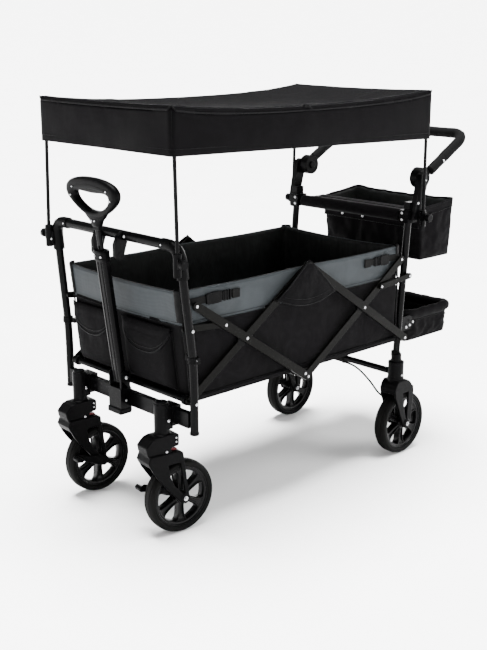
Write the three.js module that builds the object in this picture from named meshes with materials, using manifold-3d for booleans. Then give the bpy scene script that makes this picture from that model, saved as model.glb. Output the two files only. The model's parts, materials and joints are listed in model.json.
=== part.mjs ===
// A folding pull wagon with a canopy: four-arm scissor sides, a fabric bin, steerable front casters,
// a telescoping pull handle at the front and a tilting push handle at the rear.
// Millimetres, +Z up, +X to the rear (push handle), -X to the front (pull handle), floor at z = 0.
// Inside the wagon group x = 0 is the middle of the scissor linkage.
import * as THREE from "three";
import { mergeVertices } from "three/addons/utils/BufferGeometryUtils.js";
import Module from "manifold-3d";

const wasm = await Module();
wasm.setup();

// ---- Driving dimensions ----
const GAP = 0.3; // clearance between pieces that touch
const CENTRE_SHIFT = -94.95; // from the middle of the linkage to the middle of the whole wagon

const WHEEL_RADIUS = 100;
const TYRE_WIDTH = 42;
const RIM_RADIUS = 82;
const RIM_WIDTH = 34;
const SPOKE_COUNT = 6;
const AXLE_RADIUS = 6;

const FRONT_WHEEL = { x: -418, y: 181 };
const REAR_WHEEL = { x: 443, y: 238 };
const CASTER_STEM_X = -467;
const REAR_STEM_X = 418;
const CASTER_STEER = THREE.MathUtils.degToRad(-6); // the casters stand slightly turned

const TUBE_RADIUS = 11;
const FRONT_TUBE = { y: 272, topY: 263, x: -434, topX: -464, bottomZ: 299, bendZ: 480, topZ: 757 };
const REAR_TUBE = { y: 232, bottomX: 424, topX: 458, bottomZ: 332, topZ: 757 };

// Scissor linkage, front half; the rear half is its mirror image.
const PIVOT = { x: 430, z: 380 };
const PEAK_Z = 668;
const FOOT_Z = 352;
const CROSSING = { x: 235.9, z: 510 };
const ARM_TOP = { x: 409, z: 626 };
const LINK_ARM_END = { x: 310.8, z: 559.9 };
const LINK_TUBE_END = { x: 442.5, z: 572 };
const ARM_WIDTH = 23;
const LINK_WIDTH = 17;
const INNER_LAYER = [245.5, 252];
const OUTER_LAYER = [253, 259.5];
const PIN_RADIUS = 4;
const PIN_HOLE_RADIUS = 4.5;
const PIVOT_BAR_RADIUS = 8;

const BIN = { x: 414, y: 238, bottom: 369, rim: 664, wall: 5, frontFlare: 35 };
const FLOOR_PAD_THICKNESS = 18;
const CANOPY = {
  frontX: -492, rearX: 491, y: 275, frontHem: 1003, rearHem: 980, corner: 1124, sag: 26, wall: 3,
};
const POLE_RADIUS = 4.7;
const UPPER_BASKET = { x0: 560, x1: 728, y: 207, z0: 592, z1: 775, wall: 4 };
const LOWER_BASKET = { x0: 486, x1: 720, y: 214, z0: 342, z1: 430, wall: 5 };

const HANDLE_PIVOT = { x: -462, z: 398 };
const HANDLE_LEAN = THREE.MathUtils.degToRad(7.4);
const HUB = { x: 509, y: 228, z: 860, radius: 31 };
const PUSH_BAR = { y: 240, cornerX: 719, cornerZ: 977, radius: 15, bend: 48 };

// ---- Materials ----
function coat(colour, roughness, metalness) {
  return () => new THREE.MeshStandardMaterial({ color: colour, roughness, metalness });
}
const blackTube = coat(0x17181a, 0.45, 0.6);
const armPaint = coat(0x2a2b28, 0.5, 0.6);
const blackPlastic = coat(0x141516, 0.5, 0);
const rimPlastic = coat(0x101112, 0.35, 0);
const tyreRubber = coat(0x1b1b1c, 0.85, 0);
const redPlastic = coat(0x8a1015, 0.5, 0);
const blackFabric = coat(0x121214, 0.95, 0);
const greyFabric = coat(0x5d6165, 0.95, 0);
const foamGrip = coat(0x161718, 0.8, 0);

// ---- Geometry helpers ----
function toSolid(geometry) {
  const bare = geometry.index ? geometry.toNonIndexed() : geometry.clone();
  for (const name of Object.keys(bare.attributes)) {
    if (name !== "position") bare.deleteAttribute(name);
  }
  const merged = mergeVertices(bare, 1e-3);
  return new wasm.Manifold(new wasm.Mesh({
    numProp: 3,
    vertProperties: merged.attributes.position.array,
    triVerts: new Uint32Array(merged.index.array),
  }));
}

function toGeometry(solid) {
  const mesh = solid.getMesh();
  return new THREE.BufferGeometry()
    .setAttribute("position", new THREE.BufferAttribute(mesh.vertProperties, 3))
    .setIndex(new THREE.BufferAttribute(mesh.triVerts, 1));
}

// Joins the first list and cuts the second list away from it.
function combine(joined, cut = []) {
  let solid = toSolid(joined[0]);
  for (const piece of joined.slice(1)) solid = solid.add(toSolid(piece));
  for (const piece of cut) solid = solid.subtract(toSolid(piece));
  return toGeometry(solid);
}

function mirrorY(geometry) {
  return toGeometry(toSolid(geometry).mirror([0, 1, 0]));
}

function block(x0, x1, y0, y1, z0, z1) {
  return new THREE.BoxGeometry(x1 - x0, y1 - y0, z1 - z0)
    .translate((x0 + x1) / 2, (y0 + y1) / 2, (z0 + z1) / 2);
}

function rod(start, end, radius, sides = 12) {
  const from = new THREE.Vector3(...start);
  const along = new THREE.Vector3(...end).sub(from);
  const turn = new THREE.Quaternion().setFromUnitVectors(
    new THREE.Vector3(0, 1, 0), along.clone().normalize());
  return new THREE.CylinderGeometry(radius, radius, along.length(), sides)
    .applyQuaternion(turn)
    .translate(...from.add(along.multiplyScalar(0.5)).toArray());
}

// A rod along Y between two y values.
function pin(x, z, y0, y1, radius, sides = 10) {
  return rod([x, y0, z], [x, y1, z], radius, sides);
}

function roundSection(radius, sides) {
  const section = new THREE.Shape();
  for (let i = 0; i < sides; i += 1) {
    const angle = (i / sides) * 2 * Math.PI;
    const method = i ? "lineTo" : "moveTo";
    section[method](radius * Math.cos(angle), radius * Math.sin(angle));
  }
  section.closePath();
  return section;
}

// A tube through the points, each inner corner rounded over the given length.
function bentTube(points, radius, bend, steps, sides = 12) {
  const corners = points.map((p) => new THREE.Vector3(...p));
  const path = new THREE.CurvePath();
  let start = corners[0];
  for (let i = 1; i < corners.length - 1; i += 1) {
    const before = corners[i].clone().add(
      corners[i - 1].clone().sub(corners[i]).setLength(bend));
    const after = corners[i].clone().add(
      corners[i + 1].clone().sub(corners[i]).setLength(bend));
    path.add(new THREE.LineCurve3(start, before));
    path.add(new THREE.QuadraticBezierCurve3(before, corners[i], after));
    start = after;
  }
  path.add(new THREE.LineCurve3(start, corners[corners.length - 1]));
  return new THREE.ExtrudeGeometry(roundSection(radius, sides), { extrudePath: path, steps });
}

// Extrudes an outline drawn in the XZ plane from y0 to y1.
function slab(shape, y0, y1, curveSegments = 5) {
  return new THREE.ExtrudeGeometry(shape, { depth: y1 - y0, bevelEnabled: false, curveSegments })
    .rotateX(Math.PI / 2)
    .translate(0, y1, 0);
}

function outline(points) {
  return new THREE.Shape(points.map(([x, z]) => new THREE.Vector2(x, z)));
}

// The outline of a bar with round ends between two points.
function barOutline(a, b, width) {
  const angle = Math.atan2(b.z - a.z, b.x - a.x);
  const shape = new THREE.Shape();
  shape.absarc(a.x, a.z, width / 2, angle + Math.PI / 2, angle + 1.5 * Math.PI, false);
  shape.absarc(b.x, b.z, width / 2, angle - Math.PI / 2, angle + Math.PI / 2, false);
  return shape;
}

function piece(name, geometry, material) {
  const mesh = new THREE.Mesh(geometry, material());
  mesh.name = name;
  return mesh;
}

// A left piece (y below zero) and its mirror image on the right.
function pair(group, name, leftGeometry, material) {
  group.add(piece(`${name}_left`, leftGeometry, material));
  group.add(piece(`${name}_right`, mirrorY(leftGeometry), material));
}

// ---- Scissor arms ----
function bar(a, b, layer, width, pins = [], holes = []) {
  const [near, far] = layer;
  const eyes = holes.map((hole) => pin(hole.x, hole.z, -far - 1, -near + 1, PIN_HOLE_RADIUS));
  const studs = pins.map(({ at, to }) => pin(
    at.x, at.z, -Math.max(far, to) - GAP, -Math.min(near, to), PIN_RADIUS));
  return combine([slab(barOutline(a, b, width), -far, -near), ...studs], eyes);
}

const mirrored = (point) => ({ x: -point.x, z: point.z });
const peak = { x: 0, z: PEAK_Z };
const foot = { x: 0, z: FOOT_Z };
const frontPivot = mirrored(PIVOT);
const frontCrossing = mirrored(CROSSING);
const frontLinkArm = mirrored(LINK_ARM_END);
const frontLinkTube = mirrored(LINK_TUBE_END);

function addArms(group) {
  const [innerNear] = INNER_LAYER;
  const reach = innerNear + GAP; // how far inward a pin of the outer layer goes
  pair(group, "front_down_arm",
    bar(mirrored(ARM_TOP), foot, OUTER_LAYER, ARM_WIDTH,
      [{ at: frontCrossing, to: reach }]), armPaint);
  pair(group, "front_up_arm",
    bar(frontPivot, peak, INNER_LAYER, ARM_WIDTH, [], [frontPivot, frontCrossing, peak]), armPaint);
  const rearPins = [{ at: peak, to: reach }, { at: CROSSING, to: reach }];
  pair(group, "rear_down_arm",
    bar(peak, PIVOT, OUTER_LAYER, ARM_WIDTH, rearPins, [PIVOT]), armPaint);
  const upArm = bar(foot, ARM_TOP, INNER_LAYER, ARM_WIDTH, [], [CROSSING]);
  const crossTube = pin(foot.x, foot.z, -innerNear - 1, innerNear + 1, PIVOT_BAR_RADIUS, 14);
  group.add(piece("rear_up_arms_and_cross_tube", combine([upArm, mirrorY(upArm), crossTube]), armPaint));
  // Each link is pinned to its upright only. Its arm end lies flat against the arm.
  pair(group, "front_link",
    bar(frontLinkTube, frontLinkArm, INNER_LAYER, LINK_WIDTH, [], [frontLinkTube]), armPaint);
  pair(group, "rear_link",
    bar(LINK_ARM_END, LINK_TUBE_END, OUTER_LAYER, LINK_WIDTH, [], [LINK_TUBE_END]), armPaint);
}

// ---- Front frame ----
function addFrontFrame(group) {
  const { y, topY, x, topX, bottomZ, bendZ, topZ } = FRONT_TUBE;
  const uprightRoute = [[x, -y, bottomZ], [x, -y, bendZ], [topX, -topY, topZ]];
  const upright = bentTube(uprightRoute, TUBE_RADIUS, 40, 7);
  // A point on the axis of the left upright's leaning part.
  const uprightAt = (z) => {
    const t = (z - bendZ) / (topZ - bendZ);
    return [x + (topX - x) * t, -y + (y - topY) * t, z];
  };
  const stubEnd = -INNER_LAYER[0] - GAP;
  const stubs = [frontPivot, frontLinkTube].map((at) => pin(at.x, at.z, -y, stubEnd, PIN_RADIUS));
  pair(group, "front_upright_tube", combine([upright, ...stubs]), blackTube);

  const elbowRadius = 15.5;
  const barZ = 784;
  const barX = topX - 2;
  const elbow = bentTube([uprightAt(704), [barX, -topY, barZ], [barX, -200, barZ]], elbowRadius, 42, 10);
  const tubeSocket = rod(uprightAt(660), uprightAt(topZ + 1), TUBE_RADIUS + 0.8, 16);
  const barSocket = pin(barX, barZ, -240, -190, 14, 16);
  pair(group, "front_corner_elbow", combine([elbow], [tubeSocket, barSocket]), blackPlastic);

  const lugs = [-1, 1].flatMap((side) => [
    block(topX - 40, topX - 4, side * 46 - 12, side * 46 + 12, 768, 788),
    block(topX - 40, topX - 28, side * 46 - 12, side * 46 + 12, 734, 780),
    rod([topX - 40, side * 46, 734], [topX - 28, side * 46, 734], 12),
  ]);
  const upperBar = pin(barX, barZ, -238, 238, 13, 16);
  group.add(piece("front_upper_bar", combine([upperBar, ...lugs]), blackTube));
  const pivotBar = pin(frontPivot.x, frontPivot.z, stubEnd + 2 * GAP, -stubEnd - 2 * GAP, PIVOT_BAR_RADIUS);
  group.add(piece("front_pivot_bar", pivotBar, blackTube));

  // The axle bar: a flat box bar that carries the caster housings and the pull handle's bracket.
  const barFront = x - 11;
  const end = y - TUBE_RADIUS - GAP;
  const bracketHalf = 27;
  const earGap = 21.6; // half the room between the bracket's two ears
  const joined = [block(barFront, barFront + 18, -end, end, 313, 353)];
  for (const side of [-1, 1]) {
    const at = side * FRONT_WHEEL.y;
    joined.push(rod([CASTER_STEM_X, at, 285], [CASTER_STEM_X, at, 366], 19, 20));
    joined.push(block(CASTER_STEM_X, barFront + 1, at - 16, at + 16, 304, 360));
    joined.push(block(barFront - 6, barFront + 24, at - 24, at + 24, 306, 359));
    const earInner = side > 0 ? earGap : -bracketHalf;
    const earOuter = side > 0 ? bracketHalf : -earGap;
    joined.push(block(HANDLE_PIVOT.x - 16, HANDLE_PIVOT.x + 14, earInner, earOuter, 360, 402));
    joined.push(pin(HANDLE_PIVOT.x, HANDLE_PIVOT.z + 2, earInner, earOuter, 15, 16));
  }
  joined.push(block(HANDLE_PIVOT.x - 18, barFront + 1, -bracketHalf, bracketHalf, 300, 368));
  joined.push(pin(HANDLE_PIVOT.x, HANDLE_PIVOT.z, -bracketHalf, bracketHalf, PIN_RADIUS));
  group.add(piece("front_axle_bar", combine(joined), blackTube));
}

// ---- Wheels ----
// A wheel at the origin with its axle along Y.
function tyreGeometry() {
  const half = TYRE_WIDTH / 2;
  const seat = RIM_WIDTH / 2;
  const bore = RIM_RADIUS + GAP;
  const profile = [
    [bore, -seat], [92, -half], [98.6, -12], [WHEEL_RADIUS, 0], [98.6, 12], [92, half], [bore, seat],
    [bore, -seat],
  ].map(([r, h]) => new THREE.Vector2(r, h));
  return new THREE.LatheGeometry(profile, 32);
}

function rimGeometry() {
  const half = RIM_WIDTH / 2;
  const ring = new THREE.LatheGeometry([
    [74, -half], [RIM_RADIUS, -half], [RIM_RADIUS, half], [74, half], [70, 0], [74, -half],
  ].map(([r, h]) => new THREE.Vector2(r, h)), 32);
  const hub = new THREE.CylinderGeometry(17, 17, RIM_WIDTH + 8, 14);
  const spokes = [];
  for (let i = 0; i < SPOKE_COUNT; i += 1) {
    const angle = ((i + 0.5) / SPOKE_COUNT) * 2 * Math.PI;
    spokes.push(slab(outline([[8, -11], [73, -13], [73, 13], [8, 11]]), -8, 8).rotateY(angle));
  }
  return combine([ring, hub, ...spokes], [pin(0, 0, -40, 40, AXLE_RADIUS + GAP, 12)]);
}

function addWheel(group, name, x, y) {
  const wheel = new THREE.Group();
  wheel.position.set(x, y, WHEEL_RADIUS);
  wheel.add(piece(`${name}_rim`, rimGeometry(), rimPlastic));
  wheel.add(piece(`${name}_tyre`, tyreGeometry(), tyreRubber));
  group.add(wheel);
}

// The legs of a fork stand on both sides of the wheel; the axle runs through them.
function forkGeometry(side, top, cuts, axleX, extra) {
  const outer = TYRE_WIDTH / 2 + 10;
  const slot = TYRE_WIDTH / 2 + 2;
  const body = slab(side, -outer, outer);
  const crown = slab(top, -24, 24);
  const boss = pin(axleX, WHEEL_RADIUS, -outer - 2, outer + 2, 15, 14);
  const clearance = pin(axleX, WHEEL_RADIUS, -slot, slot, WHEEL_RADIUS + 5, 24);
  const shell = combine([body, crown, boss], [clearance, ...cuts]);
  const axle = pin(axleX, WHEEL_RADIUS, -outer - 5, outer + 5, AXLE_RADIUS, 12);
  return combine([shell, axle, ...extra]);
}

// The caster turns about its stem; x is measured from the stem. A red lever in its crown locks the swivel.
const LEVER = { x0: 14, halfWidth: 15, pivotX: 20, pivotZ: 235, pinRadius: 2.5 };
function casterGeometry() {
  const axleX = FRONT_WHEEL.x - CASTER_STEM_X;
  const side = outline([[-50, 240], [-50, 214], [-44, 180], [-10, 128], [axleX - 12, 90], [axleX + 11, 90],
    [axleX + 15, 112], [axleX + 12, 185], [axleX + 4, 207], [34, 222], [24, 240]]);
  const crown = outline([[-64, 268], [-61, 250], [-50, 226], [12, 226], [12, 248], [37, 250], [37, 284],
    [-36, 284]]);
  const window = outline([[-14, 172], [axleX - 22, 122], [axleX - 4, 126], [axleX - 7, 188],
    [20, 204], [2, 200]]);
  const { x0, halfWidth, pivotX, pivotZ, pinRadius } = LEVER;
  const leverSlot = block(x0 - 1, 60, -halfWidth - 0.5, halfWidth + 0.5, 223, 245);
  const leverPin = pin(pivotX, pivotZ, -halfWidth - 2, halfWidth + 2, pinRadius);
  return forkGeometry(side, crown, [slab(window, -40, 40), leverSlot], axleX, [leverPin]);
}

function addCasters(group) {
  for (const [name, side] of [["left", -1], ["right", 1]]) {
    const caster = new THREE.Group();
    caster.position.set(CASTER_STEM_X, side * FRONT_WHEEL.y, 0);
    caster.rotation.z = side < 0 ? CASTER_STEER : CASTER_STEER / 3;
    caster.add(piece(`front_fork_${name}`, casterGeometry(), blackPlastic));
    const lever = outline([[LEVER.x0, 229], [38, 226], [40, 234], [34, 242], [LEVER.x0, 243]]);
    const leverEye = pin(LEVER.pivotX, LEVER.pivotZ, -20, 20, LEVER.pinRadius + GAP);
    caster.add(piece(`swivel_lock_lever_${name}`,
      combine([slab(lever, -LEVER.halfWidth, LEVER.halfWidth)], [leverEye]), redPlastic));
    addWheel(caster, `front_wheel_${name}`, FRONT_WHEEL.x - CASTER_STEM_X, 0);
    group.add(caster);
  }
}

// ---- Rear frame ----
function addRearFrame(group) {
  const { y, bottomX, topX, bottomZ, topZ } = REAR_TUBE;
  const plate = outline([[432, 396], [452, 384], [500, 388], [512, 398], [510, 424], [496, 432], [434, 430]]);
  const pinned = [PIVOT, LINK_TUBE_END];
  const stubs = pinned.map((at) => pin(at.x, at.z, -y, -OUTER_LAYER[1] - GAP, PIN_RADIUS));
  // A spacer on each pin fills the room between the upright and the outer layer.
  const spacers = pinned.map((at) => pin(at.x, at.z, -y, -OUTER_LAYER[0] + GAP, 8));
  const upright = rod([bottomX, -y, bottomZ], [topX, -y, topZ], TUBE_RADIUS);
  const basketPlate = slab(plate, -y + 9, -y + 14);
  pair(group, "rear_upright_tube", combine([upright, basketPlate, ...stubs, ...spacers]), blackTube);

  // The cross bar joins the uprights; each end is a clamp block that carries the hub post.
  const barZ = 748;
  const blocks = [-1, 1].flatMap((side) => [
    block(topX - 20, topX + 24, Math.min(side * 212, side * 246), Math.max(side * 212, side * 246), 730, 768),
  ]);
  const sockets = [-1, 1].map((side) => rod([bottomX, side * y, bottomZ],
    [topX, side * y, topZ + 1], TUBE_RADIUS + 0.8, 18));
  // Hub post: a rounded upright on each clamp block, with a round head outside the handle's hub.
  const post = outline([[topX - 12, 740], [topX + 20, 740], [507, 846], [505, 872], [490, 880],
    [475, 874], [469, 856]]);
  const leftPost = combine([slab(post, -260.5, -243.5), block(topX - 12, topX + 20, -244, -222, 760, 792)]);
  const crossBar = pin(topX + 2, barZ, -214, 214, 15, 16);
  group.add(piece("rear_cross_bar_and_posts",
    combine([crossBar, ...blocks, leftPost, mirrorY(leftPost)], sockets), blackTube));
  group.add(piece("rear_axle_bar", pin(414, 268, -213.5, 213.5, 10, 14), blackTube));
}

function rearForkGeometry() {
  const axleX = REAR_WHEEL.x - REAR_STEM_X;
  const side = outline([[-28, 240], [-40, 216], [-42, 190], [-30, 160], [axleX - 14, 92], [axleX + 14, 92],
    [60, 168], [62, 190], [56, 214], [28, 240]]);
  const crown = outline([[-26, 244], [-26, 226], [26, 226], [26, 244]]);
  const frontWindow = outline([[-22, 176], [axleX - 12, 122], [14, 186], [8, 200], [-16, 200]]);
  const rearWindow = outline([[28, 186], [axleX + 4, 122], [44, 168], [46, 186], [38, 200]]);
  const column = [rod([0, 0, 240], [0, 0, 301], 24, 16), rod([0, 0, 300], [0, 0, 329], 15.5, 14)];
  const windows = [frontWindow, rearWindow].map((window) => slab(window, -40, 40));
  return forkGeometry(side, crown, windows, axleX, column);
}

function addRearWheels(group) {
  for (const [name, side] of [["left", -1], ["right", 1]]) {
    const unit = new THREE.Group();
    unit.position.set(REAR_STEM_X, side * REAR_WHEEL.y, 0);
    unit.add(piece(`rear_fork_${name}`, rearForkGeometry(), blackPlastic));
    addWheel(unit, `rear_wheel_${name}`, REAR_WHEEL.x - REAR_STEM_X, 0);
    group.add(unit);
  }
}

// The foot brake sits behind the right rear fork; a cable along the axle bar works the left one too.
function addBrake(group) {
  const pedal = outline([[478, 214], [480, 200], [530, 196], [560, 202], [560, 209], [530, 207], [492, 218]]);
  const middle = REAR_WHEEL.y;
  group.add(piece("brake_pedal", slab(pedal, middle - 16, middle + 16), blackPlastic));
  const cable = [[414, 150, 254.6], [414, 60, 254.6], [413, -40, 254.6], [412, -90, 246],
    [411, -140, 218], [412, -178, 186], [420, -203, 174]];
  const route = new THREE.CatmullRomCurve3(cable.map((p) => new THREE.Vector3(...p)), false, "centripetal");
  group.add(piece("brake_cable",
    new THREE.ExtrudeGeometry(roundSection(2.4, 8), { extrudePath: route, steps: 26 }), blackPlastic));
}

// ---- Canopy poles with their clamps and knobs ----
function addPoles(group) {
  const ends = [
    { name: "front_canopy_pole", base: [-483, -275, 722], top: [-481, -264, 1112], knob: "front_clamp_knob" },
    { name: "rear_canopy_pole", base: [479, -270, 722], top: [481, -265, 1110], knob: "rear_clamp_knob" },
  ];
  // The clamps stop short of the corner elbow at the front.
  const elbowRoom = rod([-455, -266, 680], [-466, -263, 790], 16.4, 16);
  for (const { name, base, top, knob } of ends) {
    const [x, y, z] = base;
    const clamp = [rod([x, y, z - 2], [x, y, z + 46], 8, 12), block(x - 7, x + 7, y - 9, y, z + 14, z + 38)];
    pair(group, name, combine([rod(base, top, POLE_RADIUS, 10), ...clamp], [elbowRoom]), blackTube);
    const knobY = y - 9 - GAP;
    pair(group, knob, combine([rod([x, knobY, z + 26], [x, knobY - 6, z + 26], 6, 10),
      rod([x, knobY - 5, z + 26], [x, knobY - 18, z + 26], 12, 14)]), blackPlastic);
  }
}

// ---- Pull handle, drawn upright about its pivot and leaned forward by its group ----
function ovalOutline(width, depth) {
  const shape = new THREE.Shape();
  const half = (width - depth) / 2;
  shape.absarc(0, half, depth / 2, 0, Math.PI, false);
  shape.absarc(0, -half, depth / 2, Math.PI, 2 * Math.PI, false);
  return shape;
}

function ovalBar(width, depth, z0, z1) {
  const settings = { depth: z1 - z0, bevelEnabled: false, curveSegments: 6 };
  return new THREE.ExtrudeGeometry(ovalOutline(width, depth), settings).translate(0, 0, z0);
}

function gripGeometry() {
  const neck = 413;
  const top = 541;
  const loop = new THREE.Shape();
  loop.moveTo(-15, neck);
  loop.bezierCurveTo(-15, 432, -34, 440, -60, 455);
  loop.bezierCurveTo(-92, 474, -108, 488, -108, 503);
  loop.bezierCurveTo(-108, 530, -60, top, 0, top);
  loop.bezierCurveTo(60, top, 108, 530, 108, 503);
  loop.bezierCurveTo(108, 488, 92, 474, 60, 455);
  loop.bezierCurveTo(34, 440, 15, 432, 15, neck);
  const hole = new THREE.Shape();
  hole.moveTo(-70, 494);
  hole.bezierCurveTo(-66, 508, -34, 500, 0, 500);
  hole.bezierCurveTo(34, 500, 66, 508, 70, 494);
  hole.bezierCurveTo(72, 480, 30, 454, 0, 454);
  hole.bezierCurveTo(-30, 454, -72, 480, -70, 494);
  const half = 12.5;
  return combine([slab(loop, -half, half, 8)], [slab(hole, -half - 1, half + 1, 7)]).rotateZ(Math.PI / 2);
}

function addPullHandle(group) {
  const handle = new THREE.Group();
  handle.position.set(HANDLE_PIVOT.x, 0, HANDLE_PIVOT.z);
  handle.rotation.y = -HANDLE_LEAN;
  const sleeve = combine([ovalBar(42, 23, -17, 322)],
    [ovalBar(21.6, 12.6, 16, 400), pin(0, 0, -30, 30, PIN_RADIUS + GAP)]);
  handle.add(piece("pull_handle_sleeve", sleeve, blackTube));
  handle.add(piece("pull_handle_collar",
    combine([ovalBar(47, 29, 322 + GAP, 350)], [ovalBar(21.6, 12.6, 300, 360)]), blackPlastic));
  handle.add(piece("pull_handle_inner_tube", ovalBar(20, 11, 22, 413 - GAP), blackTube));
  handle.add(piece("pull_handle_grip", gripGeometry(), blackPlastic));
  group.add(handle);
}

// ---- Push handle ----
function addPushHandle(group) {
  const { y, cornerX, cornerZ, radius, bend } = PUSH_BAR;
  const slope = Math.atan2(cornerZ - HUB.z, cornerX - HUB.x);
  const start = [HUB.x + 38 * Math.cos(slope), HUB.z + 38 * Math.sin(slope)];
  group.add(piece("push_handle_bar", bentTube([
    [start[0], -y, start[1]], [cornerX, -y, cornerZ], [cornerX, y, cornerZ], [start[0], y, start[1]],
  ], radius, bend, 30), foamGrip));
  const neckEnd = [HUB.x + (38 - GAP) * Math.cos(slope), HUB.z + (38 - GAP) * Math.sin(slope)];
  const hub = combine([pin(HUB.x, HUB.z, -243, -214, HUB.radius, 20),
    rod([HUB.x, -232, HUB.z], [neckEnd[0], -232, neckEnd[1]], 10)],
  [pin(HUB.x, HUB.z, -230, -205, 12 + GAP, 16)]);
  pair(group, "push_handle_hub", hub, blackPlastic);
  pair(group, "hub_button", pin(HUB.x, HUB.z, -225, -209, 12, 16), blackPlastic);
}

// ---- Soft pieces ----
function tray({ x0, x1, y, z0, z1, wall }) {
  return combine([block(x0, x1, -y, y, z0, z1)],
    [block(x0 + wall, x1 - wall, -y + wall, y - wall, z0 + wall, z1 + 1)]);
}

// A tray whose front wall leans forward towards the rim.
function binGeometry() {
  const { x, y, bottom, rim, wall, frontFlare } = BIN;
  const outside = outline([[-x, bottom], [x, bottom], [x, rim], [-x - frontFlare, rim]]);
  const inside = outline([[-x + wall, bottom + wall], [x - wall, bottom + wall],
    [x - wall, rim + 1], [-x - frontFlare + wall, rim + 1]]);
  return combine([slab(outside, -y, y)], [slab(inside, -y + wall, y - wall)]);
}

function canopyGeometry() {
  const { frontX, rearX, y, frontHem, rearHem, corner, sag, wall } = CANOPY;
  const profile = (inset, drop) => {
    const points = [[frontX + inset, frontHem - drop], [rearX - inset, rearHem - drop]];
    const steps = 8;
    for (let i = 0; i <= steps; i += 1) {
      const t = i / steps;
      const x = rearX - inset + (frontX - rearX + 2 * inset) * t;
      points.push([x, corner - inset - sag * 4 * t * (1 - t)]);
    }
    return outline(points);
  };
  return combine([slab(profile(0, 0), -y, y)], [slab(profile(wall, 10), -y + wall, y - wall)]);
}

function addSoftPieces(group) {
  const { x, y, bottom, wall } = BIN;
  group.add(piece("bin", binGeometry(), greyFabric));
  const inset = wall + 1;
  group.add(piece("floor_pad", block(-x + inset, x - inset, -y + inset, y - inset,
    bottom + wall + GAP, bottom + wall + FLOOR_PAD_THICKNESS), blackFabric));
  group.add(piece("canopy", canopyGeometry(), blackFabric));
  group.add(piece("upper_basket", tray(UPPER_BASKET), blackFabric));
  group.add(piece("lower_basket", tray(LOWER_BASKET), blackFabric));
}

// ---- Assembly ----
const wagon = new THREE.Group();
wagon.name = "folding_pull_wagon";
wagon.position.x = CENTRE_SHIFT;
addSoftPieces(wagon);
addArms(wagon);
addFrontFrame(wagon);
addCasters(wagon);
addRearFrame(wagon);
addRearWheels(wagon);
addBrake(wagon);
addPoles(wagon);
addPullHandle(wagon);
addPushHandle(wagon);

const root = new THREE.Group();
root.add(wagon);
export default root;
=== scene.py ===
"""Folding pull wagon: camera, materials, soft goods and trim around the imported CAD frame.

Positions are written in wagon millimetres (x = 0 at the middle of the scissor linkage) and turned into
metres of the shared frame by point().
"""

import json
import math

import bmesh
import bpy
from mathutils import Matrix, Vector, noise


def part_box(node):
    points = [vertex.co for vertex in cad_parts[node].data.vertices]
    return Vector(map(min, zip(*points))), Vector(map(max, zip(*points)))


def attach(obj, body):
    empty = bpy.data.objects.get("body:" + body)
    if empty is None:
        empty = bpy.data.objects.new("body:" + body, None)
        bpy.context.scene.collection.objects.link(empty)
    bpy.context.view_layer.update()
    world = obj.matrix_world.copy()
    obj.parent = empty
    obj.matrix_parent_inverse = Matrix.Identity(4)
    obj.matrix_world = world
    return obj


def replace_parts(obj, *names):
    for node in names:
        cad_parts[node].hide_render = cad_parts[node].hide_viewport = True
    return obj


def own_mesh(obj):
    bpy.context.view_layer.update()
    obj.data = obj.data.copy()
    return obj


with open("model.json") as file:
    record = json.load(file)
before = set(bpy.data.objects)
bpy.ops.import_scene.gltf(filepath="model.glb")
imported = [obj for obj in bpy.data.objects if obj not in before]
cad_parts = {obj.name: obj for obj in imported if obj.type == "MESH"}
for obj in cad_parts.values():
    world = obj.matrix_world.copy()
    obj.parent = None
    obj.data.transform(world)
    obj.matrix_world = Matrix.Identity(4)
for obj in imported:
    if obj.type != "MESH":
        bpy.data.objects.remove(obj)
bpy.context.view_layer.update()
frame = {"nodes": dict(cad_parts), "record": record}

MM = 0.001
CENTRE_SHIFT = -94.95  # from the middle of the linkage to the middle of the whole wagon
SIDES = (-1, 1)
CORNERS = [(-1, -1), (1, -1), (1, 1), (-1, 1)]
RIGHT, FORWARD, UP = (0, 1, 0), (-1, 0, 0), (0, 0, 1)


def point(x, y, z):
    return Vector(((x + CENTRE_SHIFT) * MM, y * MM, z * MM))


def show(name, data):
    """A new object in the scene."""
    made = bpy.data.objects.new(name, data)
    bpy.context.scene.collection.objects.link(made)
    return made


# ---- camera
LENS = 59.26
CAMERA_PLACE = (-2.18895, -2.206, 1.287)
CAMERA_VIEW = (0.6628, 0.7001, -0.2654)


def add_camera():
    data = bpy.data.cameras.new("camera")
    data.lens = LENS
    camera = show("camera", data)
    camera.location = CAMERA_PLACE
    camera.rotation_euler = Vector(CAMERA_VIEW).to_track_quat("-Z", "Y").to_euler()
    bpy.context.scene.camera = camera


add_camera()


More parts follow.
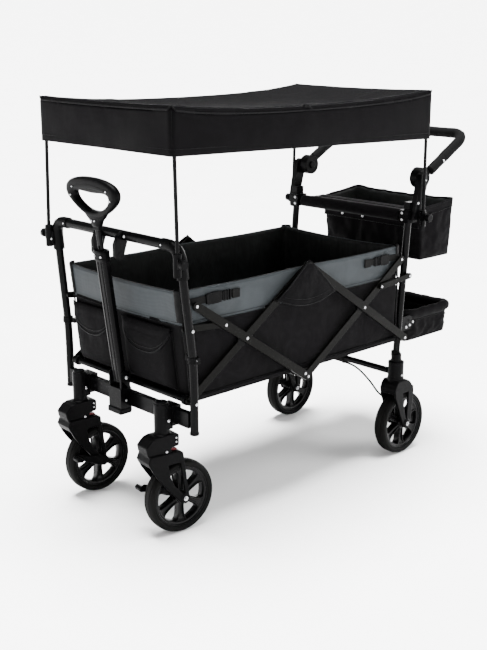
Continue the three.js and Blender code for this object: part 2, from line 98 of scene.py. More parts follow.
# ---- materials
class Shader:
    """One material and the few nodes that every material here needs."""

    def __init__(self, name):
        self.material = bpy.data.materials.new(name)
        self.material.use_nodes = True
        self.tree = self.material.node_tree
        self.surface = self.tree.nodes["Principled BSDF"]
        self.coords = self.tree.nodes.new("ShaderNodeTexCoord").outputs["Object"]
        self.bumps = None

    def node(self, kind, **inputs):
        made = self.tree.nodes.new(kind)
        for name, value in inputs.items():
            made.inputs[name.replace("_", " ")].default_value = value
        return made

    def link(self, source, target):
        self.tree.links.new(source, target)

    def noise(self, scale, detail=3.0, roughness=0.55, stretch=None):
        vector = self.coords
        if stretch:
            mapping = self.node("ShaderNodeMapping", Scale=stretch)
            self.link(vector, mapping.inputs["Vector"])
            vector = mapping.outputs["Vector"]
        made = self.node("ShaderNodeTexNoise", Scale=scale, Detail=detail, Roughness=roughness)
        self.link(vector, made.inputs["Vector"])
        return made.outputs["Fac"]

    def colours(self, source, dark, light, start=0.3, end=0.7):
        made = self.node("ShaderNodeValToRGB")
        for stop, position, colour in zip(made.color_ramp.elements, (start, end), (dark, light)):
            stop.position = position
            stop.color = (*colour, 1)
        self.link(source, made.inputs["Fac"])
        self.link(made.outputs["Color"], self.surface.inputs["Base Color"])

    def rough(self, source, low, high):
        made = self.node("ShaderNodeMapRange", From_Min=0.3, From_Max=0.7, To_Min=low, To_Max=high)
        self.link(source, made.inputs["Value"])
        self.link(made.outputs["Result"], self.surface.inputs["Roughness"])

    def bump(self, source, strength, distance):
        made = self.node("ShaderNodeBump", Strength=strength, Distance=distance)
        self.link(source, made.inputs["Height"])
        if self.bumps:
            self.link(self.bumps, made.inputs["Normal"])
        self.bumps = made.outputs["Normal"]
        self.link(self.bumps, self.surface.inputs["Normal"])

    def add(self, first, second, share=0.5):
        made = self.tree.nodes.new("ShaderNodeMix")
        made.inputs[0].default_value = share
        self.link(first, made.inputs[2])
        self.link(second, made.inputs[3])
        return made.outputs[0]

    def set(self, **values):
        for name, value in values.items():
            self.surface.inputs[name.replace("_", " ")].default_value = value
        return self.material


def tint(colour, factor):
    return tuple(min(1.0, channel * factor) for channel in colour)


def hard_material(name, colour, roughness, grain, bump, variation=0.35, **values):
    shader = Shader(name)
    cloud = shader.noise(9.0, 4.0)
    fine = shader.noise(grain, 2.0, 0.6)
    mixed = shader.add(cloud, fine, 0.35)
    shader.colours(mixed, tint(colour, 1 - variation), tint(colour, 1 + variation))
    shader.rough(mixed, roughness - 0.07, roughness + 0.09)
    shader.bump(fine, bump, 0.0006)
    return shader.set(**values)


def woven_material(name, colour, thread, roughness=0.8, sheen=0.12, fold=0.25, contrast=0.45, level=0.2):
    """Plain weave: bands along the three axes give a grid on any upright or level cloth."""
    shader = Shader(name)
    bands = []
    for axis in "XYZ":
        size = math.pi / (10 * thread * MM)
        wave = shader.node("ShaderNodeTexWave", Scale=size, Distortion=0.6, Detail=1.0)
        wave.bands_direction = axis
        shader.link(shader.coords, wave.inputs["Vector"])
        bands.append(wave.outputs["Fac"])
    grid = shader.add(shader.add(bands[0], bands[1]), bands[2], 0.36)
    cloud = shader.noise(5.0, 5.0, 0.6)
    crease = shader.noise(26.0, 3.0, 0.5, (1.0, 1.0, 0.45))
    mixed = shader.add(cloud, grid, 0.3)
    shader.colours(mixed, tint(colour, 1 - contrast), tint(colour, 1 + contrast), 0.34, 0.66)
    shader.rough(cloud, roughness - 0.08, roughness + 0.08)
    shader.bump(crease, fold, 0.0035)
    shader.bump(grid, 0.35, 0.0004)
    return shader.set(Sheen_Weight=sheen, Sheen_Roughness=0.45, Specular_IOR_Level=level)


TUBE = hard_material("tube_coat", (0.0008, 0.0008, 0.0009), 0.26, 900, 0.10, Specular_IOR_Level=0.02,
                     Coat_Weight=0.014, Coat_Roughness=0.15)
ARM = hard_material("arm_coat", (0.0012, 0.0012, 0.0010), 0.26, 1100, 0.12, Metallic=0.05,
                    Specular_IOR_Level=0.014, Coat_Weight=0.014, Coat_Roughness=0.15)
PLASTIC = hard_material("moulded_plastic", (0.0008, 0.0008, 0.0009), 0.38, 1500, 0.22,
                        Specular_IOR_Level=0.02)
RIM = hard_material("rim_plastic", (0.0010, 0.0010, 0.0011), 0.26, 700, 0.06, Specular_IOR_Level=0.06)
RUBBER = hard_material("tyre_rubber", (0.0017, 0.0017, 0.0016), 0.6, 800, 0.3, Specular_IOR_Level=0.03)
RED = hard_material("red_plastic", (0.055, 0.0010, 0.0022), 0.42, 900, 0.1, Specular_IOR_Level=0.2)
STEEL = hard_material("rivet_steel", (0.36, 0.36, 0.37), 0.28, 1600, 0.08, 0.08, Metallic=1.0)
FOAM = hard_material("foam_grip", (0.0022, 0.0022, 0.0023), 0.8, 1400, 0.55, Specular_IOR_Level=0.03)
BLACK_CLOTH = woven_material("black_polyester", (0.0016, 0.0015, 0.0017), 1.3, 0.75, 0.004, 0.4, 0.55, 0.018)
CANOPY_CLOTH = woven_material("canopy_polyester", (0.0009, 0.0008, 0.0010), 1.0, 0.55, 0.002, 0.25, 0.45,
                              0.014)
LINING = woven_material("bin_lining", (0.0070, 0.0076, 0.0075), 1.6, 0.5, 0.010, 0.6, 0.45, 0.05)
GREY_CLOTH = woven_material("grey_polyester", (0.0158, 0.0184, 0.0202), 1.2, 0.6, 0.015, 0.35, 0.2, 0.06)
PIPING = woven_material("piping_tape", (0.0010, 0.0010, 0.0011), 0.8, 0.5, 0.004, 0.1, 0.3, 0.03)
WEBBING = woven_material("webbing", (0.0014, 0.0014, 0.0013), 2.2, 0.6, 0.004, 0.05, 0.5, 0.03)
SOFT_PLASTIC = hard_material("soft_button", (0.0018, 0.0018, 0.0019), 0.55, 1200, 0.3,
                             Specular_IOR_Level=0.035)

CAD_MATERIALS = {
    "tube": TUBE, "arm": ARM, "plastic": PLASTIC, "rim": RIM, "tyre": RUBBER, "red": RED,
    "black_cloth": BLACK_CLOTH, "grey_cloth": GREY_CLOTH, "foam": FOAM, "rivet": STEEL,
}
SLOTS = {made.name: slot for slot, made in CAD_MATERIALS.items()}
SLOTS |= {made.name: "black_cloth" for made in (CANOPY_CLOTH, LINING, PIPING, WEBBING)}
SLOTS[SOFT_PLASTIC.name] = "plastic"


# ---- mesh tools
def circle(radius, sides):
    return [(radius * math.cos(2 * math.pi * i / sides), radius * math.sin(2 * math.pi * i / sides))
            for i in range(sides)]


def oval(width, height, power, sides):
    """A rounded rectangle section: a superellipse."""
    def bulge(share, size):
        return math.copysign(abs(share) ** (2 / power), share) * size / 2

    return [(bulge(x, width), bulge(y, height)) for x, y in circle(1.0, sides)]


def smooth_route(points, per_span):
    """A Catmull-Rom curve through the points."""
    pts = [Vector(p) for p in points]
    route = []
    for i in range(len(pts) - 1):
        b, c = pts[i], pts[i + 1]
        a = pts[i - 1] if i else b * 2 - c
        d = pts[i + 2] if i + 2 < len(pts) else c * 2 - b
        for k in range(per_span):
            t = k / per_span
            route.append(0.5 * (2 * b + (c - a) * t + (2 * a - 5 * b + 4 * c - d) * t * t
                                + (3 * b - a - 3 * c + d) * t ** 3))
    return [*route, pts[-1]]


class Mould:
    """Collects parts drawn in wagon millimetres and turns them into one object."""

    def __init__(self, turn=None, warp=Vector):
        self.verts = []
        self.faces = []
        self.turn = turn or Matrix.Identity(4)
        self.warp = warp

    def add(self, verts, faces):
        base = len(self.verts)
        self.verts += [self.warp(self.turn @ Vector(v)) for v in verts]
        self.faces += [tuple(base + i for i in face) for face in faces]

    def rings(self, rings, closed=False, caps=True):
        count = len(rings[0])
        faces = []
        for i in range(len(rings) if closed else len(rings) - 1):
            j = (i + 1) % len(rings)
            for k in range(count):
                m = (k + 1) % count
                faces.append((i * count + k, i * count + m, j * count + m, j * count + k))
        if caps and not closed:
            faces.append(tuple(reversed(range(count))))
            faces.append(tuple((len(rings) - 1) * count + k for k in range(count)))
        self.add([p for ring in rings for p in ring], faces)

    def sweep(self, route, section, up=(0, 0, 1), closed=False, caps=True):
        """A section (side, up) carried along a route; section may be a function of the share travelled."""
        pts = [Vector(p) for p in route]
        rings = []
        for i, here in enumerate(pts):
            after = pts[(i + 1) % len(pts)] if closed or i + 1 < len(pts) else here
            before = pts[i - 1] if closed or i else here
            along = (after - before).normalized()
            side = along.cross(Vector(up)).normalized()
            rise = side.cross(along).normalized()
            shape = section(i / max(1, len(pts) - 1)) if callable(section) else section
            rings.append([here + side * a + rise * b for a, b in shape])
        self.rings(rings, closed, caps)

    def lathe(self, origin, axis, profile, steps=24, closed=False):
        """A profile of (along, radius) turned about an axis."""
        axis = Vector(axis).normalized()
        side = axis.orthogonal().normalized()
        other = axis.cross(side)
        rings = []
        for along, radius in profile:
            centre = Vector(origin) + axis * along
            rings.append([centre + (side * c + other * s) * radius for c, s in circle(1.0, steps)])
        self.rings(rings, closed, not closed)

    def slab(self, outline, y0, y1):
        """An outline of (x, z) between two y values."""
        self.rings([[(x, y0, z) for x, z in outline], [(x, y1, z) for x, z in outline]])

    def brick(self, low, high, taper=0.0):
        (x0, y0, z0), (x1, y1, z1) = low, high
        lower = [(x0, y0, z0), (x1, y0, z0), (x1, y1, z0), (x0, y1, z0)]
        upper = [(x0 + taper, y0 + taper, z1), (x1 - taper, y0 + taper, z1),
                 (x1 - taper, y1 - taper, z1), (x0 + taper, y1 - taper, z1)]
        self.rings([lower, upper])

    def slabs(self, outline, near, far):
        """The same slab on both sides of the wagon."""
        for side in SIDES:
            self.slab(outline, *sorted((side * near, side * far)))

    def bricks(self, x0, x1, near, far, z0, z1, taper=0.0):
        """The same brick on both sides of the wagon."""
        for side in SIDES:
            low, high = sorted((side * near, side * far))
            self.brick((x0, low, z0), (x1, high, z1), taper)

    def patch(self, surface, nu, nv):
        """surface(u, v) over a grid."""
        columns = nu + 1
        verts = [surface(i / nu, j / nv) for j in range(nv + 1) for i in range(columns)]
        corners = [j * columns + i for j in range(nv) for i in range(nu)]
        self.add(verts, [(k, k + 1, k + columns + 1, k + columns) for k in corners])

    def make(self, name, material, body="rear_frame", bevel=0.0, segments=2, thick=0.0, smooth_angle=40.0,
             offset=0.0, slot=None, outward=True):
        mesh = bpy.data.meshes.new(name)
        mesh.from_pydata([point(*v) for v in self.verts], [], self.faces)
        work = bmesh.new()
        work.from_mesh(mesh)
        if outward:
            bmesh.ops.recalc_face_normals(work, faces=work.faces[:])
        limit = math.radians(smooth_angle)
        for edge in work.edges:
            sharp = len(edge.link_faces) == 2 and edge.calc_face_angle(0.0) > limit
            edge.smooth = bool(bevel) or not sharp
        for face in work.faces:
            face.smooth = True
        work.to_mesh(mesh)
        work.free()
        made = show(name, mesh)
        mesh.materials.append(material)
        if thick:
            solid = made.modifiers.new("thickness", "SOLIDIFY")
            solid.thickness = thick * MM
            solid.offset = offset
        if bevel:
            add_bevel(made, bevel, segments)
        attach(made, body)
        slot or SLOTS[material.name]
        return made


def weld_mesh(target, distance):
    """Joins the points where two grids meet."""
    work = bmesh.new()
    work.from_mesh(target.data)
    bmesh.ops.remove_doubles(work, verts=work.verts[:], dist=distance * MM)
    bmesh.ops.recalc_face_normals(work, faces=work.faces[:])
    work.to_mesh(target.data)
    work.free()


def melt(target, voxel, rounds):
    """Joins overlapping solids into one softly rounded moulding."""
    join = target.modifiers.new("join", "REMESH")
    join.mode = "VOXEL"
    join.voxel_size = voxel * MM
    join.use_smooth_shade = True
    relax = target.modifiers.new("relax", "SMOOTH")
    relax.factor = 0.5
    relax.iterations = rounds


def add_bevel(target, width, segments=2, angle=35.0):
    bevel = target.modifiers.new("bevel", "BEVEL")
    bevel.width = width * MM
    bevel.segments = segments
    bevel.limit_method = "ANGLE"
    bevel.angle_limit = math.radians(angle)
    bevel.use_clamp_overlap = True
    bevel.miter_outer = "MITER_ARC"
    normal = target.modifiers.new("normals", "WEIGHTED_NORMAL")
    normal.keep_sharp = False
    normal.weight = 80


CLOTH_STRENGTH = {"quality": 6, "mass": 0.15, "tension_stiffness": 25, "compression_stiffness": 25,
                  "shear_stiffness": 12, "bending_stiffness": 0.6, "air_damping": 3}
CLOTH_FRAMES = 16


def settle(cloth_piece, held, slack, weight=1.0, inward_only=False):
    """Lets a sheet that is cut a little too large buckle and hang between its held seams."""
    group = cloth_piece.vertex_groups.new(name="held")
    for vertex in cloth_piece.data.vertices:
        x, y, z = vertex.co / MM
        if held(x - CENTRE_SHIFT, y, z):
            group.add([vertex.index], 1.0, "REPLACE")
    later = [(modifier, modifier.show_viewport) for modifier in cloth_piece.modifiers]
    for modifier, _ in later:
        modifier.show_viewport = False
    cloth = cloth_piece.modifiers.new("cloth", "CLOTH")
    cloth.settings.vertex_group_mass = "held"
    for name, value in CLOTH_STRENGTH.items():
        setattr(cloth.settings, name, value)
    cloth.settings.shrink_min = -slack
    cloth.settings.effector_weights.gravity = weight
    cloth.collision_settings.use_collision = False
    cloth.point_cache.frame_end = CLOTH_FRAMES + 1
    scene = bpy.context.scene
    for moment in range(1, CLOTH_FRAMES + 1):
        scene.frame_set(moment)
    settled = cloth_piece.evaluated_get(bpy.context.evaluated_depsgraph_get())
    places = [vertex.co.copy() for vertex in settled.data.vertices]
    cloth_piece.modifiers.remove(cloth)
    cloth_piece.vertex_groups.remove(group)
    for vertex, place in zip(cloth_piece.data.vertices, places):
        if inward_only:
            for axis, centre in ((0, CENTRE_SHIFT * MM), (1, 0.0)):
                room = abs(vertex.co[axis] - centre) + 0.4 * MM
                place[axis] = centre + max(-room, min(room, place[axis] - centre))
        vertex.co = place
    for modifier, shown in later:
        modifier.show_viewport = shown
    scene.frame_set(1)


def perimeter(half_x, half_y, radius, step, centre_x=0.0):
    """Points (x, y, nx, ny, distance) round a rounded rectangle, starting mid-front, and its whole length."""
    normals = [(-1, 0), (0, -1), (1, 0), (0, 1)]
    made, travelled = [], 0.0
    start = last = (-half_x, 0.0)
    quarter, steps = math.pi / 2, 5

    def straight(a, b, nx, ny):
        nonlocal travelled
        length = math.dist(a, b)
        count = max(1, round(length / step))
        for k in range(count):
            t = k / count
            x, y = a[0] + (b[0] - a[0]) * t, a[1] + (b[1] - a[1]) * t
            made.append((x + centre_x, y, nx, ny, travelled + length * t))
        travelled += length

    for index, (sx, sy) in enumerate(CORNERS):
        cx, cy = sx * (half_x - radius), sy * (half_y - radius)
        angles = [quarter * (index + 2 + k / steps) for k in range(steps + 1)]
        arc = [(math.cos(angle), math.sin(angle)) for angle in angles]
        straight(last, (cx + radius * arc[0][0], cy + radius * arc[0][1]), *normals[index])
        for k, (nx, ny) in enumerate(arc[:-1]):
            passed = travelled + radius * quarter * k / steps
            made.append((cx + radius * nx + centre_x, cy + radius * ny, nx, ny, passed))
        travelled += radius * quarter
        last = (cx + radius * arc[-1][0], cy + radius * arc[-1][1])
    straight(last, start, *normals[0])
    return made, travelled


def wall(mould, ring, rows, shape):
    """A band of cloth: shape(x, y, nx, ny, distance, z) gives (outward offset, z)."""
    def place(x, y, nx, ny, distance, z):
        out, height = shape(x, y, nx, ny, distance, z)
        return x + nx * out, y + ny * out, height

    mould.rings([[place(*spot, z) for spot in ring] for z in rows], False, False)


def wrinkle(x, y, z, size, seed=0.0):
    """Cloth noise, about -1 to 1."""
    here = Vector((x / size + seed, y / size - seed, z / size + 3.1 * seed))
    return noise.fractal(here, 0.9, 2.1, 4) * 1.2


def ridge(x, y, z, size, seed=0.0):
    """Sharp crests, up to 1, along winding lines."""
    here = Vector((x / size + seed, y / size, z / size + seed))
    return 1.0 - 2.2 * abs(noise.noise(here))


def rows_between(low, high, count):
    """Evenly spaced values, both ends included."""
    return [low + (high - low) * i / count for i in range(count + 1)]


def across(surface, count, v):
    """Points along u of a surface(u, v)."""
    return [surface(k / count, v) for k in range(count + 1)]


def down(surface, count, u):
    """Points along v of a surface(u, v)."""
    return [surface(u, k / count) for k in range(count + 1)]


def shifted(points, x=0.0, y=0.0, z=0.0):
    return [Vector(place) + Vector((x, y, z)) for place in points]


# ---- brake cable (the one cord)
CABLE_RADIUS = 3.3
cable_points = [(414, 150, 254.6), (414, 60, 254.6), (413, -40, 254.6), (412, -90, 246), (411, -140, 218),
                (412, -178, 186), (420, -203, 174)]


def add_cable():
    route = [point(*p) for p in smooth_route(cable_points, 5)]
    data = bpy.data.curves.new("brake_cable_run", "CURVE")
    data.dimensions = "3D"
    data.bevel_depth = CABLE_RADIUS * MM
    data.bevel_resolution = 3
    data.use_fill_caps = True
    spline = data.splines.new("POLY")
    spline.points.add(len(route) - 1)
    for target, place in zip(spline.points, route):
        target.co = (*place, 1)
    data.materials.append(RUBBER)
    cable = show("brake_cable_run", data)
    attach(cable, "rear_frame")
    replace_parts(cable, "brake_cable")
    clips = Mould()
    for y in (-30, 55):
        clips.lathe((414, y, 268), RIGHT, [(-5, 10.3), (-5, 12.2), (5, 12.2), (5, 10.3)], 28, True)
        clips.brick((409, y - 5, 251), (419, y + 5, 259))
    clips.lathe((414, 147, 254.6), RIGHT, [(-9, 3.4), (-7, 4.2), (7, 4.2), (9, 3.4)], 16)
    clips.make("brake_cable_clips", PLASTIC, bevel=0.7)


add_cable()


# ---- CAD nodes that stay
BEVELS = {"elbow": 1.0, "arm": 2.4, "link": 2.0, "axle_bar": 1.6, "upper_bar": 1.5, "cross_bar": 1.8,
          "hub": 2.0, "knob": 1.6, "pedal": 1.8, "lever": 1.2, "collar": 1.4, "button": 1.0}
PLAIN_BEVEL = 0.8


def dress_cad_nodes():
    """Gives the CAD nodes that nothing replaces their materials and rounded edges."""
    slots = {row["node"]: row["material_slot"] for row in frame["record"]["subparts"]}
    for name, part in frame["nodes"].items():
        if part.hide_render:
            continue
        for holder in part.material_slots:
            holder.material = CAD_MATERIALS[slots[name]]
        if "custom_normal" in part.data.attributes:
            part.data.attributes.remove(part.data.attributes["custom_normal"])
        for edge in part.data.edges:
            edge.use_edge_sharp = False
        for face in part.data.polygons:
            face.use_smooth = True
        weld = part.modifiers.new("weld", "WELD")
        weld.merge_threshold = 0.02 * MM
        if "pole" not in name:
            flat = part.modifiers.new("flat", "DECIMATE")
            flat.decimate_type = "DISSOLVE"
            flat.angle_limit = math.radians(0.6)
        width = next((w for key, w in BEVELS.items() if key in name), PLAIN_BEVEL)
        add_bevel(part, width, angle=40)


# ---- wheels
TYRE_PROFILE = [(-16.6, 82.3), (-18.6, 83.5), (-19.6, 85.0), (-19.2, 86.4), (-20.4, 88.5), (-21.0, 91.5),
                (-20.2, 94.4), (-17.6, 96.9), (-13.0, 98.7), (-9.4, 99.4), (-8.8, 98.3), (-7.2, 98.3),
                (-6.6, 99.6), (0.0, 100.0)]
RIM_PROFILE = [(-17.0, 82.0), (-17.4, 80.6), (-16.8, 79.2), (-14.2, 78.2), (-13.6, 74.6), (-12.6, 72.6),
               (-8.0, 70.8), (0, 70.2)]
HUB_PROFILE = [(-21, 9.5), (-21, 13.6), (-19.6, 15.4), (-16.4, 16.4), (-15, 18.6), (15, 18.6), (16.4, 16.4),
               (19.6, 15.4), (21, 13.6), (21, 9.5)]
SPOKES = 6
# along a spoke: radius, half width, half height, depth of the channel in its faces
SPOKE_SECTIONS = [(14, 8.6, 14.0, 0.5), (22, 8.2, 13.2, 3.6), (34, 8.6, 12.2, 4.6), (50, 9.8, 11.6, 4.8),
                  (62, 11.8, 11.6, 4.2), (68.5, 15.5, 12.2, 2.4), (73, 21.5, 12.6, 0.6)]
WHEEL_RADIUS = 100
# x and y of the stem, its steer in degrees, and how far the wheel trails behind it
WHEELS = {"front_wheel_left": (-467, -181, -6, 49), "front_wheel_right": (-467, 181, -2, 49),
          "rear_wheel_left": (418, -238, 0, 25), "rear_wheel_right": (418, 238, 0, 25)}


def mirrored(half):
    """A profile carried on across its middle."""
    return half + [(-a, r) for a, r in reversed(half[:-1])]


def stem_place(name):
    """From the millimetres of a wheel's stem, x along its trail, to wagon millimetres."""
    x, y, steer, _ = WHEELS[name]
    return Matrix.Translation((x, y, 0)) @ Matrix.Rotation(math.radians(steer), 4, "Z")


def add_wheels():
    for name, (_, _, _, trail) in WHEELS.items():
        place = stem_place(name) @ Matrix.Translation((trail, 0, WHEEL_RADIUS))
        tyre, rim = Mould(place), Mould(place)
        tyre.lathe((0, 0, 0), RIGHT, mirrored(TYRE_PROFILE), 72, True)
        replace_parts(tyre.make(f"{name}_tyre_rubber", RUBBER, name, smooth_angle=50), f"{name}_tyre")
        rim.lathe((0, 0, 0), RIGHT, mirrored(RIM_PROFILE), 72, True)
        rim.lathe((0, 0, 0), RIGHT, HUB_PROFILE, 36)
        for i in range(SPOKES):
            angle = 2 * math.pi * (i + 0.5) / SPOKES
            out = Vector((math.cos(angle), 0, math.sin(angle)))
            side = Vector((-math.sin(angle), 0, math.cos(angle)))
            sections = []
            for r, w, h, dip in SPOKE_SECTIONS:
                half = [(-w, h - 2.2), (-w + 1.6, h), (-w + 3.6, h), (-w + 5.2, h - dip)]
                face = half + [(-t, a) for t, a in reversed(half)]
                shape = face + [(t, -a) for t, a in reversed(face)]
                sections.append([out * r + side * t + Vector((0, a, 0)) for t, a in shape])
            rim.rings(sections)
        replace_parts(rim.make(f"{name}_rim_moulding", RIM, name, smooth_angle=34), f"{name}_rim")


# ---- forks
FRONT_STRUTS = [[(-56, 232), (-57, 216), (-47, 194), (-28, 166), (-2, 134), (22, 106), (36, 90), (49, 85),
                 (60, 92), (60, 108), (41, 117), (19, 141), (5, 170), (0, 200), (1, 232)],
                [(33, 232), (46, 230), (63, 104), (51, 108)]]
REAR_STRUTS = [[(-37, 220), (-33, 196), (4, 108), (10, 90), (25, 85), (34, 92), (24, 106), (4, 186),
                (2, 222)],
               [(30, 222), (30, 190), (25, 112), (38, 90), (46, 104), (55, 200), (54, 220)]]
STRUT_FACES = 23.6, 30.8


def wheel_body(name):
    """The body that carries a wheel's fork."""
    return name.replace("front_wheel", "caster") if "front" in name else "rear_frame"


def add_forks():
    for name, (_, _, _, trail) in WHEELS.items():
        fork = Mould(stem_place(name))
        if "front" in name:
            fork.slab([(-63, 262), (-60, 246), (-54, 232), (12, 230), (14, 248), (36, 250), (38, 256),
                       (38, 279), (33, 284), (-30, 284), (-44, 280)], -24, 24)
            fork.slab([(-54, 238), (-61, 222), (-54, 207), (-34, 203.5), (36, 203.5), (45, 212), (46, 231),
                       (38, 236)], -30.6, 30.6)
            fork.lathe((0, 0, 0), UP, [(280, 22), (286, 22), (287, 20)], 40)
        else:
            fork.slab([(-34, 204), (-37, 220), (-30, 236), (-20, 246), (21, 246), (36, 238), (53, 218),
                       (55, 205), (50, 203.5), (-28, 203.5)], -30.6, 30.6)
            fork.lathe((0, 0, 0), UP, [(236, 27), (244, 25.4), (250, 24.4), (297, 24.2), (301, 22.6),
                                       (302, 16.5), (329, 15.5)], 48)
        for strut in FRONT_STRUTS if "front" in name else REAR_STRUTS:
            fork.slabs(strut, *STRUT_FACES)
        for side in SIDES:
            fork.lathe((trail, side * STRUT_FACES[0], WHEEL_RADIUS), (0, side, 0),
                       [(0, 14.5), (9.4, 14), (10.6, 12.5)], 36)
        node = name.replace("wheel", "fork")
        made = fork.make(f"{node}_moulding", PLASTIC, wheel_body(name))
        melt(made, 1.6, 5)
        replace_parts(made, node)


# ---- rivets, bolts and screws
def dome(mould, place, normal, radius=3.1, washer=True):
    """A rivet's or bolt's domed head, on a washer or bare."""
    if washer:
        mould.lathe(place, normal, [(-1.2, radius * 1.25), (0.4, radius * 1.25), (0.6, radius * 1.05)], 18)
    mould.lathe(place, normal, [(-1.0, radius), (1.0, radius), (2.0, radius * 0.82), (2.7, radius * 0.5),
                                (2.95, radius * 0.12)], 16)


def domes(mould, x, y, z, radius=3.1, washer=True):
    """The same head on both sides."""
    for side in SIDES:
        dome(mould, (x, side * y, z), (0, side, 0), radius, washer)


OUTER_FACE, INNER_FACE = 259.5, 252.0
# body: (x, z, |y| of the face); each is on both sides
SIDE_RIVETS = {
    "front_down_arms": [(-409, 626, OUTER_FACE), (-310.8, 559.9, OUTER_FACE), (-235.9, 510, OUTER_FACE),
                        (0, 352, OUTER_FACE), (-12, 363, OUTER_FACE)],
    "rear_down_arms": [(235.9, 510, OUTER_FACE), (430, 380, OUTER_FACE)],
    "rear_links": [(310.8, 559.9, OUTER_FACE), (442.5, 572, OUTER_FACE)],
    "rear_up_arms": [(409, 626, INNER_FACE)],
    "front_frame": [(-434, 380, 282.6), (-441.8, 572, 280.4), (-437, 497, 285.6)],
    "rear_frame": [(496, 856, 260.5), (466, 790, 260.5), (487, 404, 231.6), (502, 412, 231.6),
                   (470, 400, 231.6)],
}
# body: (x, |y|, z) on faces that look forward
FRONT_RIVETS = {
    "front_frame": [(-479.2, 208, 784), (-479.2, 60, 784)],
    "rear_frame": [(438, 222, 759), (438, 222, 739)],
}


def add_rivets():
    collar, grip, push = Mould(handle_turn()), Mould(handle_turn()), Mould()
    for side in SIDES:
        dome(collar, (-14.6, side * 13, 336), FORWARD, 2.9, False)
        for y, s in ((72, 512), (84, 489), (6, 430)):
            dome(grip, (-12.4, side * y, s), FORWARD, 2.1, False)
    collar.make("pull_collar_rivets", STEEL, "pull_handle")
    grip.make("pull_grip_screws", STEEL, "pull_handle_slider")
    for body, places in SIDE_RIVETS.items():
        rivets = Mould()
        for x, z, y in places:
            domes(rivets, x, y, z)
        for x, y, z in FRONT_RIVETS.get(body, []):
            for side in SIDES:
                dome(rivets, (x, side * y, z), FORWARD)
        rivets.make(f"rivets_{body}", STEEL, body)
    domes(push, 590, 255, 906, 3.2, False)
    push.make("push_bar_rivets", STEEL, "push_handle")
    for name, (_, _, _, trail) in WHEELS.items():
        bolts = Mould(stem_place(name))
        for side in SIDES:
            place = (trail, side * 36, WHEEL_RADIUS)
            bolts.lathe(place, (0, side, 0), [(-3, 6.4), (-0.6, 6.4), (0, 5.8)], 20)
            bolts.lathe(place, (0, side, 0), [(-1, 4.6), (1.6, 4.6), (2.4, 3.8), (1.2, 2.2)], 6)
        if "front" in name:
            domes(bolts, -2, 24, 240, 3.6, False)
            for z in (262, 273):
                domes(bolts, 28, 24, z, 2.5, False)
        else:
            domes(bolts, 0, 24, 262, 3.2, False)
        bolts.make(f"{name}_bolts", STEEL, wheel_body(name), smooth_angle=30)


# ---- pull handle
HANDLE_PIVOT = (-462, 398)
HANDLE_LEAN = math.radians(7.4)


def handle_turn():
    """From handle millimetres (along the handle = z) to wagon millimetres."""
    x, z = HANDLE_PIVOT
    return Matrix.Translation(Vector((x, 0, z))) @ Matrix.Rotation(-HANDLE_LEAN, 4, "Y")


def add_pull_handle():
    sleeve, collar, neck = (Mould(handle_turn()) for _ in range(3))
    outer = []
    for x, y in oval(23, 42, 3.4, 96):
        groove = sum(math.exp(-((y - at) / 1.7) ** 2) for at in (-7.2, 7.2))
        x -= math.copysign(2.6 * groove, x) if abs(x) > 7 else 0
        outer.append((x, y))
    sleeve.rings([[(x * k, y * k, s) for x, y in outer]
                  for s, k in ((-17, 0.94), (-15, 1.0), (60, 1.0), (160, 1.0), (260, 1.0), (322, 1.0))])
    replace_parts(sleeve.make("pull_sleeve_extrusion", TUBE, "pull_handle"), "pull_handle_sleeve")
    for s0, s1, width, depth in ((322, 350, 47, 29), (325, 331, 48.4, 30.4), (343, 347, 48.4, 30.4)):
        shape = [(x, y) for y, x in oval(width, depth, 3.0, 40)]
        small = [(x * 0.96, y * 0.975) for x, y in shape]
        collar.rings([[(x, y, s) for x, y in section]
                      for section, s in ((small, s0), (shape, s0 + 1.2), (shape, s1 - 1.2), (small, s1))])
    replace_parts(collar.make("pull_collar_moulding", PLASTIC, "pull_handle"), "pull_handle_collar")
    add_grip()
    neck.brick((-7, -12, 404), (7, 12, 416), 1.5)
    neck.brick((-8.5, -3, 352), (-5, 3, 362), 0.8)
    neck.make("pull_grip_neck_ring", PLASTIC, "pull_handle_slider", 1.2)


def add_upper_bar():
    """The front upper bar with two round ears that hold the folded handle, and the handle's hinge cheeks."""
    low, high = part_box("front_upper_bar")
    bar = Mould()
    ends = low[1] / MM, high[1] / MM
    bar.lathe((-466, 0, 784), RIGHT, [(ends[0], 12.6), (ends[0] + 1, 13), (ends[1] - 1, 13), (ends[1], 12.6)],
              40)
    ear = [(-487 + 15 * math.cos(math.radians(a)), 738 + 15 * math.sin(math.radians(a)))
           for a in range(165, 361, 15)]
    bar.slabs(ear + [(-469, 748), (-462, 768), (-462, 794), (-476, 795), (-492, 786), (-502, 764)], 40, 53)
    cheeks = Mould()
    x, z = HANDLE_PIVOT
    for side in SIDES:
        bar.lathe((-487, side * 53, 738), (0, side, 0), [(-1, 7), (1.2, 6.4)], 24)
        cheeks.lathe((x, side * 22.5, z), (0, side, 0), [(0, 17), (4, 17), (5, 15.5), (5, 8), (7.4, 7.4)], 36)
    cheeks.bricks(x - 15, x + 15, 22.5, 27, 366, z)
    made = bar.make("front_upper_bar_tube", TUBE, "front_frame", 1.6, smooth_angle=30)
    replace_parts(made, "front_upper_bar")
    cheeks.make("pull_handle_cheeks", PLASTIC, "front_frame", 0.9)


def bezier_path(start, *curves, steps=14):
    """Cubic Bezier curves end to end, each given by its two handles and its end."""
    made = []
    for curve in curves:
        a, b, c, d = (Vector(p) for p in (start, *curve))
        made += [a * (1 - t) ** 3 + b * 3 * t * (1 - t) ** 2 + c * 3 * t * t * (1 - t) + d * t ** 3
                 for t in (i / steps for i in range(steps))]
        start = curve[-1]
    return [*made, Vector(start)]


